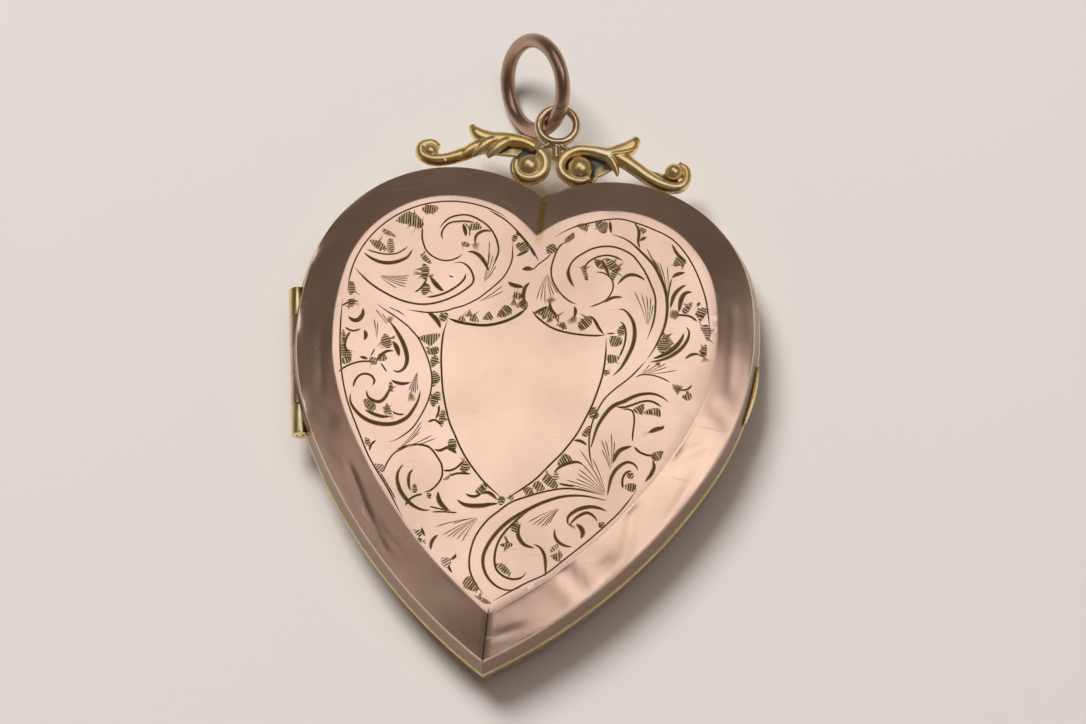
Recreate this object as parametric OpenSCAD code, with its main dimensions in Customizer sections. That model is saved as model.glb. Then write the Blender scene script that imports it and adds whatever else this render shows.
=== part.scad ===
// Heart locket with an engraved front, lying flat on its back.
// +Z up through the engraved front, +Y towards the bail, +X to the right.
// The origin is on the flat back face, on the heart's axis of symmetry.

/* [Heart outline] */
// Distance of each lobe's centre from the axis of symmetry
lobe_x = 4.70; // [4.5:0.05:4.9]
// Height of the lobe centres above the origin
lobe_y = 6.00; // [5:0.1:7]
// Radius of each lobe at the sharp front edge
lobe_r = 8.31; // [8:0.01:8.6]
// Radius of the flank below each lobe
flank_r = 16.22; // [15:0.1:18]
// Radius of the long side that runs to the tip
side_r = 32.44; // [30:0.1:36]
// Direction where lobe and flank meet, degrees above +X
lobe_end = 12.5; // [10:0.5:15]
// Direction where flank and side meet, degrees above +X
flank_end = -27.2; // [-30:0.5:-24]

/* [Case section] */
// Rise of the back bevel from the surface it rests on
back_rise = 0.60; // [0.5:0.05:0.7]
// Height of the back half's side wall
back_wall = 1.70; // [1.6:0.05:1.9]
// Height of the front half's side wall
front_wall = 1.40; // [1.35:0.05:1.6]
// Rise of the front bevel from its sharp edge to the engraved field
front_rise = 0.55; // [0.5:0.05:0.8]
// Width of the plain bevel round the engraved field
bevel_w = 2.04; // [1.8:0.02:2.2]
// How far the wall spreads between the front edge and the seam
wall_flare = 0.38; // [0.3:0.02:0.4]
// Sheet thickness of the two covers
sheet = 0.30; // [0.25:0.01:0.3]

/* [Hinge] */
// Outside radius of the hinge barrel
barrel_r = 0.52; // [0.5:0.01:0.53]
// Radius of the hinge pin
pin_r = 0.22; // [0.18:0.01:0.25]
// Length of the five-knuckle barrel
barrel_len = 9.20; // [8:0.1:10]
// Lean of the barrel away from +Y, degrees
barrel_lean = 9.4; // [9:0.1:10]

/* [Bail] */
// Centre-line radius of the soldered bail loop
loop_r = 1.13; // [1.1:0.01:1.2]
// Wire radius of the bail loop
loop_wire = 0.24; // [0.2:0.01:0.25]
// Centre-line radius of the jump ring
ring_r = 2.70; // [2.6:0.05:2.8]
// Wire radius of the jump ring
ring_wire = 0.45; // [0.4:0.01:0.45]

/* [Hidden] */
$fn = 48;

// Colours
rose_gold = [0.78, 0.58, 0.50];
yellow_gold = [0.84, 0.70, 0.38];
copper_gold = [0.55, 0.36, 0.29];

// Levels: the seam is where the two halves meet.
seam_z = back_rise + back_wall;
front_edge_z = seam_z + front_wall;
field_z = front_edge_z + front_rise;
part_gap = 0.02;            // half of the gap between the two halves
flange_t = 0.18;            // thickness of each rim's flange at the seam
bead_out = wall_flare + 0.02;
back_taper = 0.22;          // the back wall draws in this much from seam to lower edge

// Inward offsets of the rims, frames, windows and cards
band_out = 0.45;
band_in = 0.70;
lip_out = 0.78;
lip_in = 1.00;
lip_height = 0.28;          // snap lip above the seam
seat_in = 1.60;
seat_t = 0.12;
frame_w = 0.75;
frame_t = 0.29;
window_t = 0.18;
card_t = 0.11;
stack_gap = 0.02;

// Points along each arc of half the outline
lobe_steps = 15;
flank_steps = 7;
side_steps = 7;

// Arc centres of the right half; the left half mirrors them.
flank_c = [lobe_x, lobe_y] + (lobe_r - flank_r) * [cos(lobe_end), sin(lobe_end)];
side_c = flank_c + (flank_r - side_r) * [cos(flank_end), sin(flank_end)];

function arc_points(c, r, a0, a1, steps, first) =
    [for (i = [first:steps]) let (a = a0 + (a1 - a0) * i / steps) c + r * [cos(a), sin(a)]];

// Right half of the outline grown by off, from the notch round to the tip
function half_heart(off) =
    let (notch_a = acos(-lobe_x / (lobe_r + off)), tip_a = -acos(-side_c.x / (side_r + off)))
    concat(arc_points([lobe_x, lobe_y], lobe_r + off, notch_a, lobe_end, lobe_steps, 0),
           arc_points(flank_c, flank_r + off, lobe_end, flank_end, flank_steps, 1),
           arc_points(side_c, side_r + off, flank_end, tip_a, side_steps, 1));

function mirrored(points) = [for (i = [len(points) - 2:-1:1]) [-points[i].x, points[i].y]];

// Whole outline, clockwise seen from +Z
function heart(off) = let (half = half_heart(off)) concat(half, mirrored(half));

function ring_at(level) = [for (p = heart(level[0])) [p.x, p.y, level[1]]];

// Side faces between ring a and ring b of n points each
function band_faces(a, b, n) = [for (i = [0:n - 1]) [a * n + i, a * n + (i + 1) % n, b * n + (i + 1) % n, b * n + i]];

function joined(lists) = [for (l = lists) each l];

// Closed band that follows the outline; section lists [offset, z] anticlockwise with outward +X
module heart_band(section) {
    n = len(heart(0));
    m = len(section);
    polyhedron(points = joined([for (s = section) ring_at(s)]),
               faces = joined([for (k = [0:m - 1]) band_faces(k, (k + 1) % m, n)]), convexity = 8);
}

// Solid stack of outlines from the first level up to the last
module heart_stack(levels) {
    n = len(heart(0));
    m = len(levels);
    polyhedron(points = joined([for (s = levels) ring_at(s)]),
               faces = concat([[for (i = [n - 1:-1:0]) i]],
                              joined([for (k = [0:m - 2]) band_faces(k, k + 1, n)]),
                              [[for (i = [0:n - 1]) (m - 1) * n + i]]), convexity = 8);
}

// Hollow cover: outer levels run from the rim to the field, inner levels likewise
module heart_shell(outer, inner) {
    n = len(heart(0));
    mo = len(outer);
    m = mo + len(inner);
    polyhedron(points = joined([for (s = concat(outer, inner)) ring_at(s)]),
               faces = concat(joined([for (k = [0:mo - 2]) band_faces(k, k + 1, n)]),
                              [[for (i = [0:n - 1]) (mo - 1) * n + i]],
                              joined([for (k = [mo:m - 2]) band_faces(k + 1, k, n)]),
                              [[for (i = [n - 1:-1:0]) (m - 1) * n + i]],
                              band_faces(mo, 0, n)), convexity = 8);
}

// Flips a shape made for the front half over into the back half
module to_back() translate([0, 0, 2 * seam_z]) mirror([0, 0, 1]) children();

// Hinge barrel: axis through hinge_c, leaning outwards at its upper end
hinge_c = [-12.95, 1.50, seam_z];
knuckles = 5;
knuckle_gap = 0.04;
pocket_gap = 0.05;
bore_gap = 0.02;
knuckle_len = barrel_len / knuckles;

module on_hinge() translate(hinge_c) rotate([0, 0, barrel_lean]) rotate([-90, 0, 0]) children();

function knuckle_start(i) = -barrel_len / 2 + i * knuckle_len;

// Knuckle i counted from the lower end
module knuckle(i) on_hinge() difference() {
    translate([0, 0, knuckle_start(i) + knuckle_gap / 2]) cylinder(r = barrel_r, h = knuckle_len - knuckle_gap);
    translate([0, 0, knuckle_start(i) - 1]) cylinder(r = pin_r + bore_gap, h = knuckle_len + 2);
}

// Room for the barrel in one half: own is 0 for the back half's knuckles, 1 for the front's
module hinge_pocket(own) on_hinge() for (i = [0:knuckles - 1])
    let (mine = i % 2 == own, grow = mine ? -knuckle_gap / 2 : knuckle_gap / 2, end = i == 0 || i == knuckles - 1)
        translate([0, 0, knuckle_start(i) - grow - (i == 0 ? pocket_gap : 0)])
            cylinder(r = barrel_r + (mine ? 0 : pocket_gap),
                     h = knuckle_len + 2 * grow + (end ? pocket_gap : 0));

module front_cover() color(rose_gold) difference() {
    base = seam_z + part_gap + flange_t;
    heart_shell([[wall_flare * 0.87, base], [0, front_edge_z], [0.22 - bevel_w, field_z - 0.06],
                 [-0.10 - bevel_w, field_z - 0.012], [-0.40 - bevel_w, field_z]],
                [[wall_flare * 0.87 - sheet, base], [-sheet, front_edge_z - 0.26],
                 [-0.12 - bevel_w, field_z - sheet]]);
    hinge_pocket(1);
}

module back_cover() color(rose_gold) difference() {
    top = seam_z - part_gap - flange_t;
    edge = wall_flare - back_taper;
    mirror([0, 0, 1])
        heart_shell([[wall_flare, -top], [edge, -back_rise], [0.15 - bevel_w, -0.05], [-0.15 - bevel_w, 0]],
                    [[wall_flare - sheet, -top], [edge - sheet, -back_rise - 0.20], [-bevel_w, -sheet]]);
    hinge_pocket(0);
}

// Rim of the front half: bead at the seam, band behind the wall, seat for the picture
module front_rim() color(yellow_gold) difference() {
    z0 = seam_z + part_gap;
    seat_z = z0 + 0.98;
    heart_band([[bead_out, z0], [bead_out, z0 + flange_t], [-band_out, z0 + flange_t],
                [-band_out, seat_z + seat_t], [-seat_in, seat_z + seat_t], [-seat_in, seat_z],
                [-band_in, seat_z], [-band_in, z0]]);
    hinge_pocket(1);
}

// Rim of the back half: the same, with a snap lip that stands up inside the front rim
module back_rim() color(yellow_gold) difference() {
    z0 = seam_z - part_gap;
    seat_z = z0 - 0.98;
    heart_band([[bead_out, z0], [-lip_out, z0], [-lip_out, z0 + lip_height], [-lip_in, z0 + lip_height],
                [-lip_in, seat_z], [-seat_in - 0.2, seat_z], [-seat_in - 0.2, seat_z - seat_t],
                [-lip_out, seat_z - seat_t], [-lip_out, z0 - flange_t], [bead_out, z0 - flange_t]]);
    hinge_pocket(0);
    lip_relief();
}

// The snap lip stops short of the hinge so that the open lid clears it
module lip_relief() on_hinge()
    translate([-1, -lip_height - 0.5, -barrel_len / 2 - 1.2]) cube([3.2, lip_height + 0.5 - part_gap, barrel_len + 2.4]);

// Levels of the front stack above the seam, shared by both halves
frame_z = 0.34;
window_z = frame_z + frame_t + stack_gap;
card_z = window_z + window_t + stack_gap;

module picture_frame(outer) let (z = seam_z + frame_z)
    heart_band([[-outer, z], [-outer, z + frame_t], [-outer - frame_w, z + frame_t], [-outer - frame_w, z + 0.12],
                [-outer - frame_w + 0.18, z]]);

module sheet_heart(off, z, t) heart_stack([[off, seam_z + z], [off, seam_z + z + t]]);

front_fit = band_in + 0.03;
back_fit = lip_in + 0.03;

module front_frame() color(yellow_gold) picture_frame(front_fit);
module back_frame() color(yellow_gold) to_back() picture_frame(back_fit);
module front_window() color([0.9, 0.92, 0.88, 0.4]) sheet_heart(-front_fit, window_z, window_t);
module back_window() color([0.9, 0.92, 0.88, 0.4]) to_back() sheet_heart(-back_fit, window_z, window_t);
module front_card() color([0.90, 0.86, 0.76]) sheet_heart(-front_fit, card_z, card_t);
module back_card() color([0.90, 0.86, 0.76]) to_back() sheet_heart(-back_fit, card_z, card_t);

// Thumb-nail lip on the right flank: a crescent that swells out of the front rim's bead
lip_low = -14;
lip_high = -1;
lip_reach = 0.10;
lip_t = 0.30;
lip_steps = 14;

module thumb_lip() color(yellow_gold) {
    inner = [for (i = [0:lip_steps]) let (a = lip_low + (lip_high - lip_low) * i / lip_steps)
        flank_c + (flank_r + bead_out) * [cos(a), sin(a)]];
    outer = [for (i = [lip_steps:-1:0]) let (u = i / lip_steps, a = lip_low + (lip_high - lip_low) * u)
        flank_c + (flank_r + bead_out + 0.04 + lip_reach * sin(180 * u)) * [cos(a), sin(a)]];
    translate([0, 0, seam_z + part_gap]) linear_extrude(lip_t) polygon(concat(inner, outer));
}

module front_knuckle_upper() color(rose_gold) knuckle(3);
module front_knuckle_lower() color(rose_gold) knuckle(1);
module back_knuckle_top() color(yellow_gold) knuckle(4);
module back_knuckle_middle() color(rose_gold) knuckle(2);
module back_knuckle_bottom() color(yellow_gold) knuckle(0);
module hinge_pin() color(yellow_gold) on_hinge()
    translate([0, 0, -barrel_len / 2]) cylinder(r = pin_r, h = barrel_len);

// Castings: tapered arms swept along smooth curves in the plane z = scroll_z
scroll_z = seam_z + 0.45;
arm_sides = 8;
arm_flat = 1.15;            // arms are a little deeper than they are wide

function spline_at(p, t) =
    let (n = len(p) - 1, i = min(floor(t), n - 1), u = t - i,
         a = p[max(i - 1, 0)], b = p[i], c = p[i + 1], d = p[min(i + 2, n)])
    0.5 * (2 * b + (c - a) * u + (2 * a - 5 * b + 4 * c - d) * u * u + (3 * b - a - 3 * c + d) * u * u * u);

// path lists [x, y, half-width]
module arm(path, per = 3) {
    n = (len(path) - 1) * per;
    mid = [for (i = [0:n]) spline_at(path, i / per)];
    turn = [for (i = [0:n]) let (d = mid[min(i + 1, n)] - mid[max(i - 1, 0)]) atan2(d.y, d.x)];
    polyhedron(points = joined([for (i = [0:n]) [for (k = [0:arm_sides - 1])
                   let (a = 360 * k / arm_sides, s = mid[i].z * cos(a), h = arm_flat * mid[i].z * sin(a))
                   [mid[i].x - s * sin(turn[i]), mid[i].y + s * cos(turn[i]), scroll_z + h]]]),
               faces = concat([[for (k = [0:arm_sides - 1]) k]],
                              joined([for (i = [0:n - 1]) [for (f = band_faces(i, i + 1, arm_sides))
                                  [f[3], f[2], f[1], f[0]]]]),
                              [[for (k = [arm_sides - 1:-1:0]) n * arm_sides + k]]), convexity = 10);
}

// Spiral of [x, y, half-width] round c from radius r0 at a0 to r1 at a1
function spiral(c, r0, r1, a0, a1, w0, w1, steps) =
    [for (i = [0:steps]) let (u = i / steps, a = a0 + (a1 - a0) * u, r = r0 + (r1 - r0) * u)
        [c.x + r * cos(a), c.y + r * sin(a), w0 + (w1 - w0) * u]];

left_volute = [-1.12, 15.30];
right_volute = [1.93, 15.42];
volute_r = 1.05;
bead_r = 0.50;

module bead(c, r) translate([c.x, c.y, scroll_z]) hull() sphere(r = r, $fn = 20);

module scroll_left() color(yellow_gold) difference() {
    union() {
        arm(concat(spiral(left_volute, 0.45, volute_r, -320, 60, 0.20, 0.32, 12),
                   [[-1.90, 16.75, 0.42], [-3.20, 16.65, 0.50], [-4.30, 16.00, 0.45], [-5.30, 15.30, 0.34],
                    [-6.40, 15.05, 0.36], [-7.45, 15.22, 0.42], [-7.60, 15.85, 0.38], [-7.05, 16.15, 0.28]]), 2);
        arm([[-3.10, 16.80, 0.45], [-4.00, 17.05, 0.36], [-4.60, 17.35, 0.22], [-5.05, 17.80, 0.08]]);
        bead(left_volute, bead_r);
    }
    casting_seat();
}

module scroll_right() color(yellow_gold) difference() {
    union() {
        arm(concat(spiral(right_volute, 0.45, volute_r, 500, 120, 0.20, 0.32, 12),
                   [[2.45, 16.75, 0.34], [3.50, 16.62, 0.42], [4.55, 17.00, 0.42], [5.10, 17.50, 0.26],
                    [5.36, 18.00, 0.08]]), 2);
        arm([[4.00, 16.60, 0.36], [4.80, 16.05, 0.34], [5.80, 15.35, 0.34], [6.80, 14.80, 0.34],
             [7.80, 14.75, 0.32], [8.28, 15.30, 0.27], [8.15, 16.00, 0.25], [7.60, 16.20, 0.24]]);
        arm([[3.90, 16.50, 0.34], [4.15, 15.90, 0.20], [4.20, 15.20, 0.08]]);
        bead(right_volute, bead_r);
        bead([7.62, 15.80], 0.42);
    }
    casting_seat();
}

// The castings are filed to sit against the back half's wall and rim, clear of the lid
lid_clear = 0.06;
module casting_seat() {
    heart_stack([[wall_flare - back_taper - 0.3, -1], [wall_flare, seam_z - part_gap - flange_t]]);
    heart_stack([[bead_out, seam_z - part_gap - flange_t - 0.01], [bead_out, seam_z - part_gap]]);
    heart_stack([[bead_out + lid_clear, seam_z - part_gap - 0.01], [bead_out + lid_clear, field_z + 1]]);
}

// Loop that faces up, with a foot soldered between the castings
loop_c = [0.30, 18.06, seam_z + 0.55];
module bail_loop() color(rose_gold) union() {
    translate(loop_c) rotate_extrude() translate([loop_r, 0]) circle(r = loop_wire, $fn = 20);
    translate([loop_c.x + 0.08, 16.95, scroll_z]) rotate([90, 0, 6]) cylinder(r1 = 0.26, r2 = 0.32, h = 1.05);
}

// Jump ring: stands through the loop, leaning back and to the left
ring_c = [-1.38, 20.64, seam_z + 0.46];
ring_heading = 210.6;       // compass direction that its plane's normal leans to
ring_lean = 58.2;           // how far that normal leans from +Z
module jump_ring() color(copper_gold) translate(ring_c) rotate([0, ring_lean, ring_heading])
    rotate_extrude() translate([ring_r, 0]) circle(r = ring_wire, $fn = 24);

front_cover();
front_rim();
front_card();
front_window();
front_frame();
thumb_lip();
front_knuckle_upper();
front_knuckle_lower();
back_cover();
back_rim();
back_card();
back_window();
back_frame();
back_knuckle_top();
back_knuckle_middle();
back_knuckle_bottom();
hinge_pin();
scroll_left();
scroll_right();
bail_loop();
jump_ring();
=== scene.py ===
"""Looks of the engraved heart locket: engraved front, plain back, rims, hinge, castings and rings.

Lengths in this file are millimetres in the row frame until mesh_piece() scales them to metres.
"""
import math
import random
from contextlib import contextmanager

import bmesh
import bpy
import numpy as np
from mathutils import Matrix, Vector, geometry, noise


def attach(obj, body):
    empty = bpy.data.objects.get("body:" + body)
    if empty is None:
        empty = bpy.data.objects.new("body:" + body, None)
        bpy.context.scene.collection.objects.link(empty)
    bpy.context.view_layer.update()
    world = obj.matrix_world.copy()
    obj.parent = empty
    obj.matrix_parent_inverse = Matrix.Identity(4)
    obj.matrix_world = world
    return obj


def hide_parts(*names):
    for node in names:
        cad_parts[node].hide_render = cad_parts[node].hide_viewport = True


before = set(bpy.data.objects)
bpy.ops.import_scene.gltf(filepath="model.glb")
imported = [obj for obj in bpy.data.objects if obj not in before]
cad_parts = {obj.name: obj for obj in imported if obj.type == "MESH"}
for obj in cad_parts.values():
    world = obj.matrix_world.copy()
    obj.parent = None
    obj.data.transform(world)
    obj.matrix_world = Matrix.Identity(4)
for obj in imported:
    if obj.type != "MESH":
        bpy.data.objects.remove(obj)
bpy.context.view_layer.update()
MM = 0.001

# ---------------------------------------------------------------- sizes shared with the CAD
LOBE, LOBE_R = (4.70, 6.00), 8.31
FLANK_R, SIDE_R = 16.22, 32.44
LOBE_END, FLANK_END = math.radians(12.5), math.radians(-27.2)
SEAM = 2.30
EDGE_Z, FIELD_Z = 3.70, 4.25
PART_GAP, FLANGE, BEAD_OUT = 0.02, 0.18, 0.40
HINGE = Vector((-12.95, 1.50, SEAM))
HINGE_LEAN = math.radians(9.4)
BARREL_R, PIN_R, BORE_R, BARREL_LEN, KNUCKLE_GAP = 0.52, 0.22, 0.24, 9.20, 0.04
SCROLL_Z = 2.75
FIELD_OFF = -2.17          # where the shoulder ends and the flat engraved field starts
HEART_STEPS = (52, 26, 34)  # segments of lobe, flank and side in each half of the outline


def polar(c, r, a):
    return (c[0] + r * math.cos(a), c[1] + r * math.sin(a))


FLANK_C = polar(LOBE, LOBE_R - FLANK_R, LOBE_END)
SIDE_C = polar(FLANK_C, FLANK_R - SIDE_R, FLANK_END)


# ---------------------------------------------------------------- camera, light and floor
def add_camera():
    """Long lens, 68 degrees above the horizon, turned a little to the left."""
    el, az, roll = math.radians(67.656), math.radians(9.559), math.radians(-3.125)
    back = Vector((math.sin(az) * math.cos(el), -math.cos(az) * math.cos(el), math.sin(el)))
    right = Vector((math.cos(az), math.sin(az), 0))
    up = back.cross(right)
    side = right * math.cos(roll) + up * math.sin(roll)
    top = -right * math.sin(roll) + up * math.cos(roll)
    away, across, upward = 172.66, 1.526, 2.139
    place = (back * away + side * across + top * upward + Vector((0, 0, EDGE_Z))) * MM
    data = bpy.data.cameras.new("camera")
    data.lens, data.sensor_width, data.sensor_fit = 100, 36, "HORIZONTAL"
    data.clip_start, data.clip_end = 0.002, 5
    camera = bpy.data.objects.new("camera", data)
    camera.matrix_world = Matrix((side, top, back)).transposed().to_4x4()
    camera.location = place
    bpy.context.scene.collection.objects.link(camera)
    bpy.context.scene.camera = camera


def area_light(name, direction, distance, size, watts, colour, in_gloss=True):
    """Round lamp at a distance in metres along a direction, aimed at the origin."""
    data = bpy.data.lights.new(name, "AREA")
    data.shape, data.size, data.energy, data.color = "DISK", size, watts, colour
    lamp = bpy.data.objects.new(name, data)
    towards = Vector(direction).normalized()
    lamp.location = towards * distance
    lamp.rotation_mode = "QUATERNION"
    lamp.rotation_quaternion = towards.to_track_quat("Z", "Y")
    lamp.visible_glossy = in_gloss
    bpy.context.scene.collection.objects.link(lamp)


def add_lights():
    """Two soft boxes, a dim card on the left, and a fill for the floor alone."""
    area_light("soft_box", (-0.11, 0.39, 0.92), 0.32, 0.160, 0.074, (1.0, 0.97, 0.94))
    area_light("side_box", (0.36, 0.12, 0.92), 0.40, 0.200, 0.140, (1.0, 0.96, 0.92))
    area_light("left_card", (-0.45, 0.05, 0.89), 0.50, 0.170, 0.025, (1.0, 0.90, 0.80))
    area_light("floor_fill", (-0.35, 0.45, 0.82), 0.9, 0.42, 7.4, (1.0, 0.99, 0.97), in_gloss=False)
    bpy.context.scene.view_settings.view_transform = "Standard"
    world = bpy.data.worlds.new("studio")
    bpy.context.scene.world = world
    world.use_nodes = True
    nodes, links = world.node_tree.nodes, world.node_tree.links
    coords = nodes.new("ShaderNodeTexCoord")
    split = nodes.new("ShaderNodeSeparateXYZ")
    ramp = nodes.new("ShaderNodeValToRGB")
    horizon, zenith = ramp.color_ramp.elements
    horizon.position, horizon.color = 0.0, (0.42, 0.38, 0.34, 1)
    zenith.position, zenith.color = 0.55, (0.105, 0.082, 0.068, 1)
    links.new(coords.outputs["Generated"], split.inputs[0])
    links.new(split.outputs["Z"], ramp.inputs[0])
    links.new(ramp.outputs[0], nodes["Background"].inputs[0])


def add_floor():
    """Plain pale floor, a hair below the back so that the two faces don't flicker."""
    bpy.ops.mesh.primitive_plane_add(size=1.6, location=(0, 0, -0.00002))
    floor = bpy.context.object
    floor.name = "floor"
    m = Surface("floor", (0.74, 0.71, 0.68), 0.62, metallic=0.0)
    grain = m.noise(900, detail=4)
    m.link(m.bump(grain, 0.05, 0.00005), "Normal")
    floor.data.materials.append(m.material)


# ---------------------------------------------------------------- materials
class Surface:
    """A Principled material with short helpers for procedural detail in object coordinates."""

    def __init__(self, name, colour, roughness, metallic=1.0):
        self.material = bpy.data.materials.new(name)
        self.material.use_nodes = True
        self.tree = self.material.node_tree
        self.shader = self.tree.nodes["Principled BSDF"]
        self.set("Base Color", (*colour, 1)).set("Roughness", roughness).set("Metallic", metallic)
        self.coords = self.tree.nodes.new("ShaderNodeTexCoord").outputs["Object"]

    def set(self, socket, value):
        self.shader.inputs[socket].default_value = value
        return self

    def link(self, source, socket):
        self.tree.links.new(source, self.shader.inputs[socket])

    def node(self, kind, **inputs):
        made = self.tree.nodes.new(kind)
        for name, value in inputs.items():
            socket = made.inputs[name.replace("_", " ")]
            if isinstance(value, bpy.types.NodeSocket):
                self.tree.links.new(value, socket)
            else:
                socket.default_value = value
        return made

    def mapped(self, scale, turn=0.0):
        made = self.node("ShaderNodeMapping", Vector=self.coords)
        made.inputs["Scale"].default_value = scale
        made.inputs["Rotation"].default_value = (0, 0, math.radians(turn))
        return made.outputs[0]

    def noise(self, scale, detail=3, vector=None, roughness=0.5):
        made = self.node("ShaderNodeTexNoise", Vector=vector or self.coords, Scale=scale, Detail=detail,
                         Roughness=roughness)
        return made.outputs["Fac"]

    def ramp(self, value, low, high, a=0.0, b=1.0):
        """Maps low..high of value to a..b, clamped."""
        made = self.node("ShaderNodeMapRange", Value=value)
        for name, v in (("From Min", low), ("From Max", high), ("To Min", a), ("To Max", b)):
            made.inputs[name].default_value = v
        return made.outputs[0]

    def attribute(self, name):
        made = self.tree.nodes.new("ShaderNodeAttribute")
        made.attribute_name = name
        return made.outputs["Fac"]

    def math(self, operation, a, b):
        made = self.tree.nodes.new("ShaderNodeMath")
        made.operation = operation
        for socket, value in zip(made.inputs, (a, b)):
            if isinstance(value, bpy.types.NodeSocket):
                self.tree.links.new(value, socket)
            else:
                socket.default_value = value
        return made.outputs[0]

    def mix(self, factor, a, b):
        """Colours a to b; each is a socket or an (r, g, b)."""
        made = self.tree.nodes.new("ShaderNodeMix")
        made.data_type = "RGBA"
        self.tree.links.new(factor, made.inputs[0])
        for socket, value in ((made.inputs[6], a), (made.inputs[7], b)):
            if isinstance(value, bpy.types.NodeSocket):
                self.tree.links.new(value, socket)
            else:
                socket.default_value = (*value, 1)
        return made.outputs[2]

    def bump(self, height, strength, distance):
        made = self.node("ShaderNodeBump", Height=height, Strength=strength, Distance=distance)
        return made.outputs[0]

    def scratches(self, scale=260):
        """Hair-thin polishing scratches in three directions."""
        total = None
        for turn in (17, 84, 151):
            lines = self.noise(scale, 2, self.mapped((1, 22, 3), turn), 0.55)
            line = self.ramp(lines, 0.69, 0.77)
            total = line if total is None else self.math("MAXIMUM", total, line)
        return total


def worn_gold(name, colour, dark, roughness, blotch=0.25):
    """Gold with uneven alloy colour, polishing scratches and rubbed patches."""
    m = Surface(name, colour, roughness)
    cloud = m.ramp(m.noise(170, 4), 0.35, 0.70)
    fine = m.ramp(m.noise(900, 3), 0.4, 0.75)
    tone = m.mix(m.math("MULTIPLY", cloud, blotch), colour, dark)
    m.link(tone, "Base Color")
    hair = m.scratches()
    rough = m.math("ADD", m.ramp(cloud, 0, 1, roughness * 0.85, roughness * 1.3),
                   m.math("MULTIPLY", hair, 0.0875))
    m.link(m.math("ADD", rough, m.math("MULTIPLY", fine, 0.03)), "Roughness")
    relief = m.math("ADD", m.math("MULTIPLY", hair, -0.6), m.math("MULTIPLY", fine, 0.3))
    m.link(m.bump(relief, 0.12, 0.000003), "Normal")
    return m


def engraved_gold():
    """Rose gold whose cuts, given by the point attribute "cut", hold olive-brown residue."""
    rose, deep = (0.84, 0.62, 0.51), (0.72, 0.49, 0.38)
    m = Surface("engraved_rose_gold", rose, 0.27)
    cloud = m.ramp(m.noise(150, 4), 0.35, 0.70)
    metal = m.mix(m.math("MULTIPLY", cloud, 0.35), rose, deep)
    metal = m.mix(notch_solder(m), metal, (0.62, 0.42, 0.12))
    # Painted shade: the side wall is painted dark brown to stand in for shade and dark reflection; the
    # thin line at the tip is a real crack.
    metal = m.mix(wall_shade_and_tip_crack(m), metal, (0.24, 0.155, 0.11))
    cut = m.attribute("cut")
    speckle = m.ramp(m.noise(2600, 3), 0.30, 0.62, 0.70, 1.0)
    residue = m.math("MULTIPLY", m.ramp(cut, 0.04, 0.30), speckle)
    olive = m.mix(m.ramp(cut, 0.25, 0.85), (0.47, 0.35, 0.135), (0.155, 0.115, 0.055))
    m.link(m.mix(residue, metal, olive), "Base Color")
    hair = m.scratches(230)
    base = m.math("ADD", m.ramp(cloud, 0, 1, 0.22, 0.30), m.math("MULTIPLY", hair, 0.05))
    m.link(m.math("ADD", base, m.math("MULTIPLY", residue, 0.28)), "Roughness")
    m.link(m.bump(m.math("MULTIPLY", hair, -1.0), 0.05, 0.000001), "Normal")
    return m


def notch_solder(m):
    """Mask of the yellow solder that shows in the mitre under the notch."""
    split = m.node("ShaderNodeSeparateXYZ", Vector=m.coords)
    aside = m.math("ABSOLUTE", m.math("SUBTRACT", split.outputs["X"], 0.00012), 0.0)
    band = m.ramp(aside, 0.00010, 0.00030, 1.0, 0.0)
    along = m.ramp(split.outputs["Y"], 0.0094, 0.0103)
    ragged = m.ramp(m.noise(2200, 3), 0.30, 0.50)
    return m.math("MULTIPLY", m.math("MULTIPLY", band, along), ragged)


def wall_shade_and_tip_crack(m):
    """Mask of dark brown: painted shade down the side wall, and a real dark crack in the open mitre at the
    tip.
    """
    split = m.node("ShaderNodeSeparateXYZ", Vector=m.coords)
    # Painted shade: below the arris the wall is painted dark brown.
    wall = m.ramp(split.outputs["Z"], 0.00344, 0.00368, 0.92, 0.0)
    ragged = m.ramp(m.noise(1200), 0, 1, -0.00006, 0.00006)
    aside = m.math("ABSOLUTE", m.math("ADD", split.outputs["X"], ragged), 0.0)
    crack = m.math("MULTIPLY", m.ramp(aside, 0.00002, 0.00006, 1.0, 0.0),
                   m.ramp(split.outputs["Y"], -0.0129, -0.0127, 1.0, 0.0))
    return m.math("MAXIMUM", wall, crack)


def casting_gold():
    """Yellow cast gold with blue-grey tarnish in the hollows, given by the attribute "grime"."""
    gold, pale = (0.93, 0.67, 0.25), (1.0, 0.84, 0.54)
    m = Surface("cast_gold", gold, 0.28)
    metal = m.mix(m.ramp(m.noise(420, 3), 0.35, 0.65), gold, pale)
    blotch = m.ramp(m.noise(1500, 4), 0.25, 0.70, -0.25, 0.25)
    grime = m.ramp(m.math("ADD", m.attribute("grime"), blotch), 0.30, 0.80)
    m.link(m.mix(grime, metal, (0.075, 0.082, 0.070)), "Base Color")
    m.link(m.ramp(grime, 0, 1, 0.32, 0.62), "Roughness")
    m.link(m.ramp(grime, 0, 1, 1.0, 0.45), "Metallic")
    m.link(m.bump(m.noise(2400, 4), 0.30, 0.00002), "Normal")
    return m


def gilt_rim():
    """Yellow gold of the rims and hinge ends, rubbed bright, with a little green in the joints."""
    gold, rub = (0.84, 0.64, 0.30), (0.93, 0.80, 0.52)
    m = Surface("gilt_rim", gold, 0.24)
    rubbed = m.ramp(m.noise(700, 3, m.mapped((1, 1, 6))), 0.40, 0.66)
    metal = m.mix(rubbed, gold, rub)
    crust = m.ramp(m.noise(520, 5, roughness=0.65), 0.68, 0.78)
    m.link(m.mix(crust, metal, (0.16, 0.17, 0.105)), "Base Color")
    rough = m.math("ADD", m.ramp(rubbed, 0, 1, 0.20, 0.32), m.math("MULTIPLY", crust, 0.35))
    m.link(rough, "Roughness")
    m.link(m.bump(m.noise(1800, 3), 0.20, 0.00001), "Normal")
    return m


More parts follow.
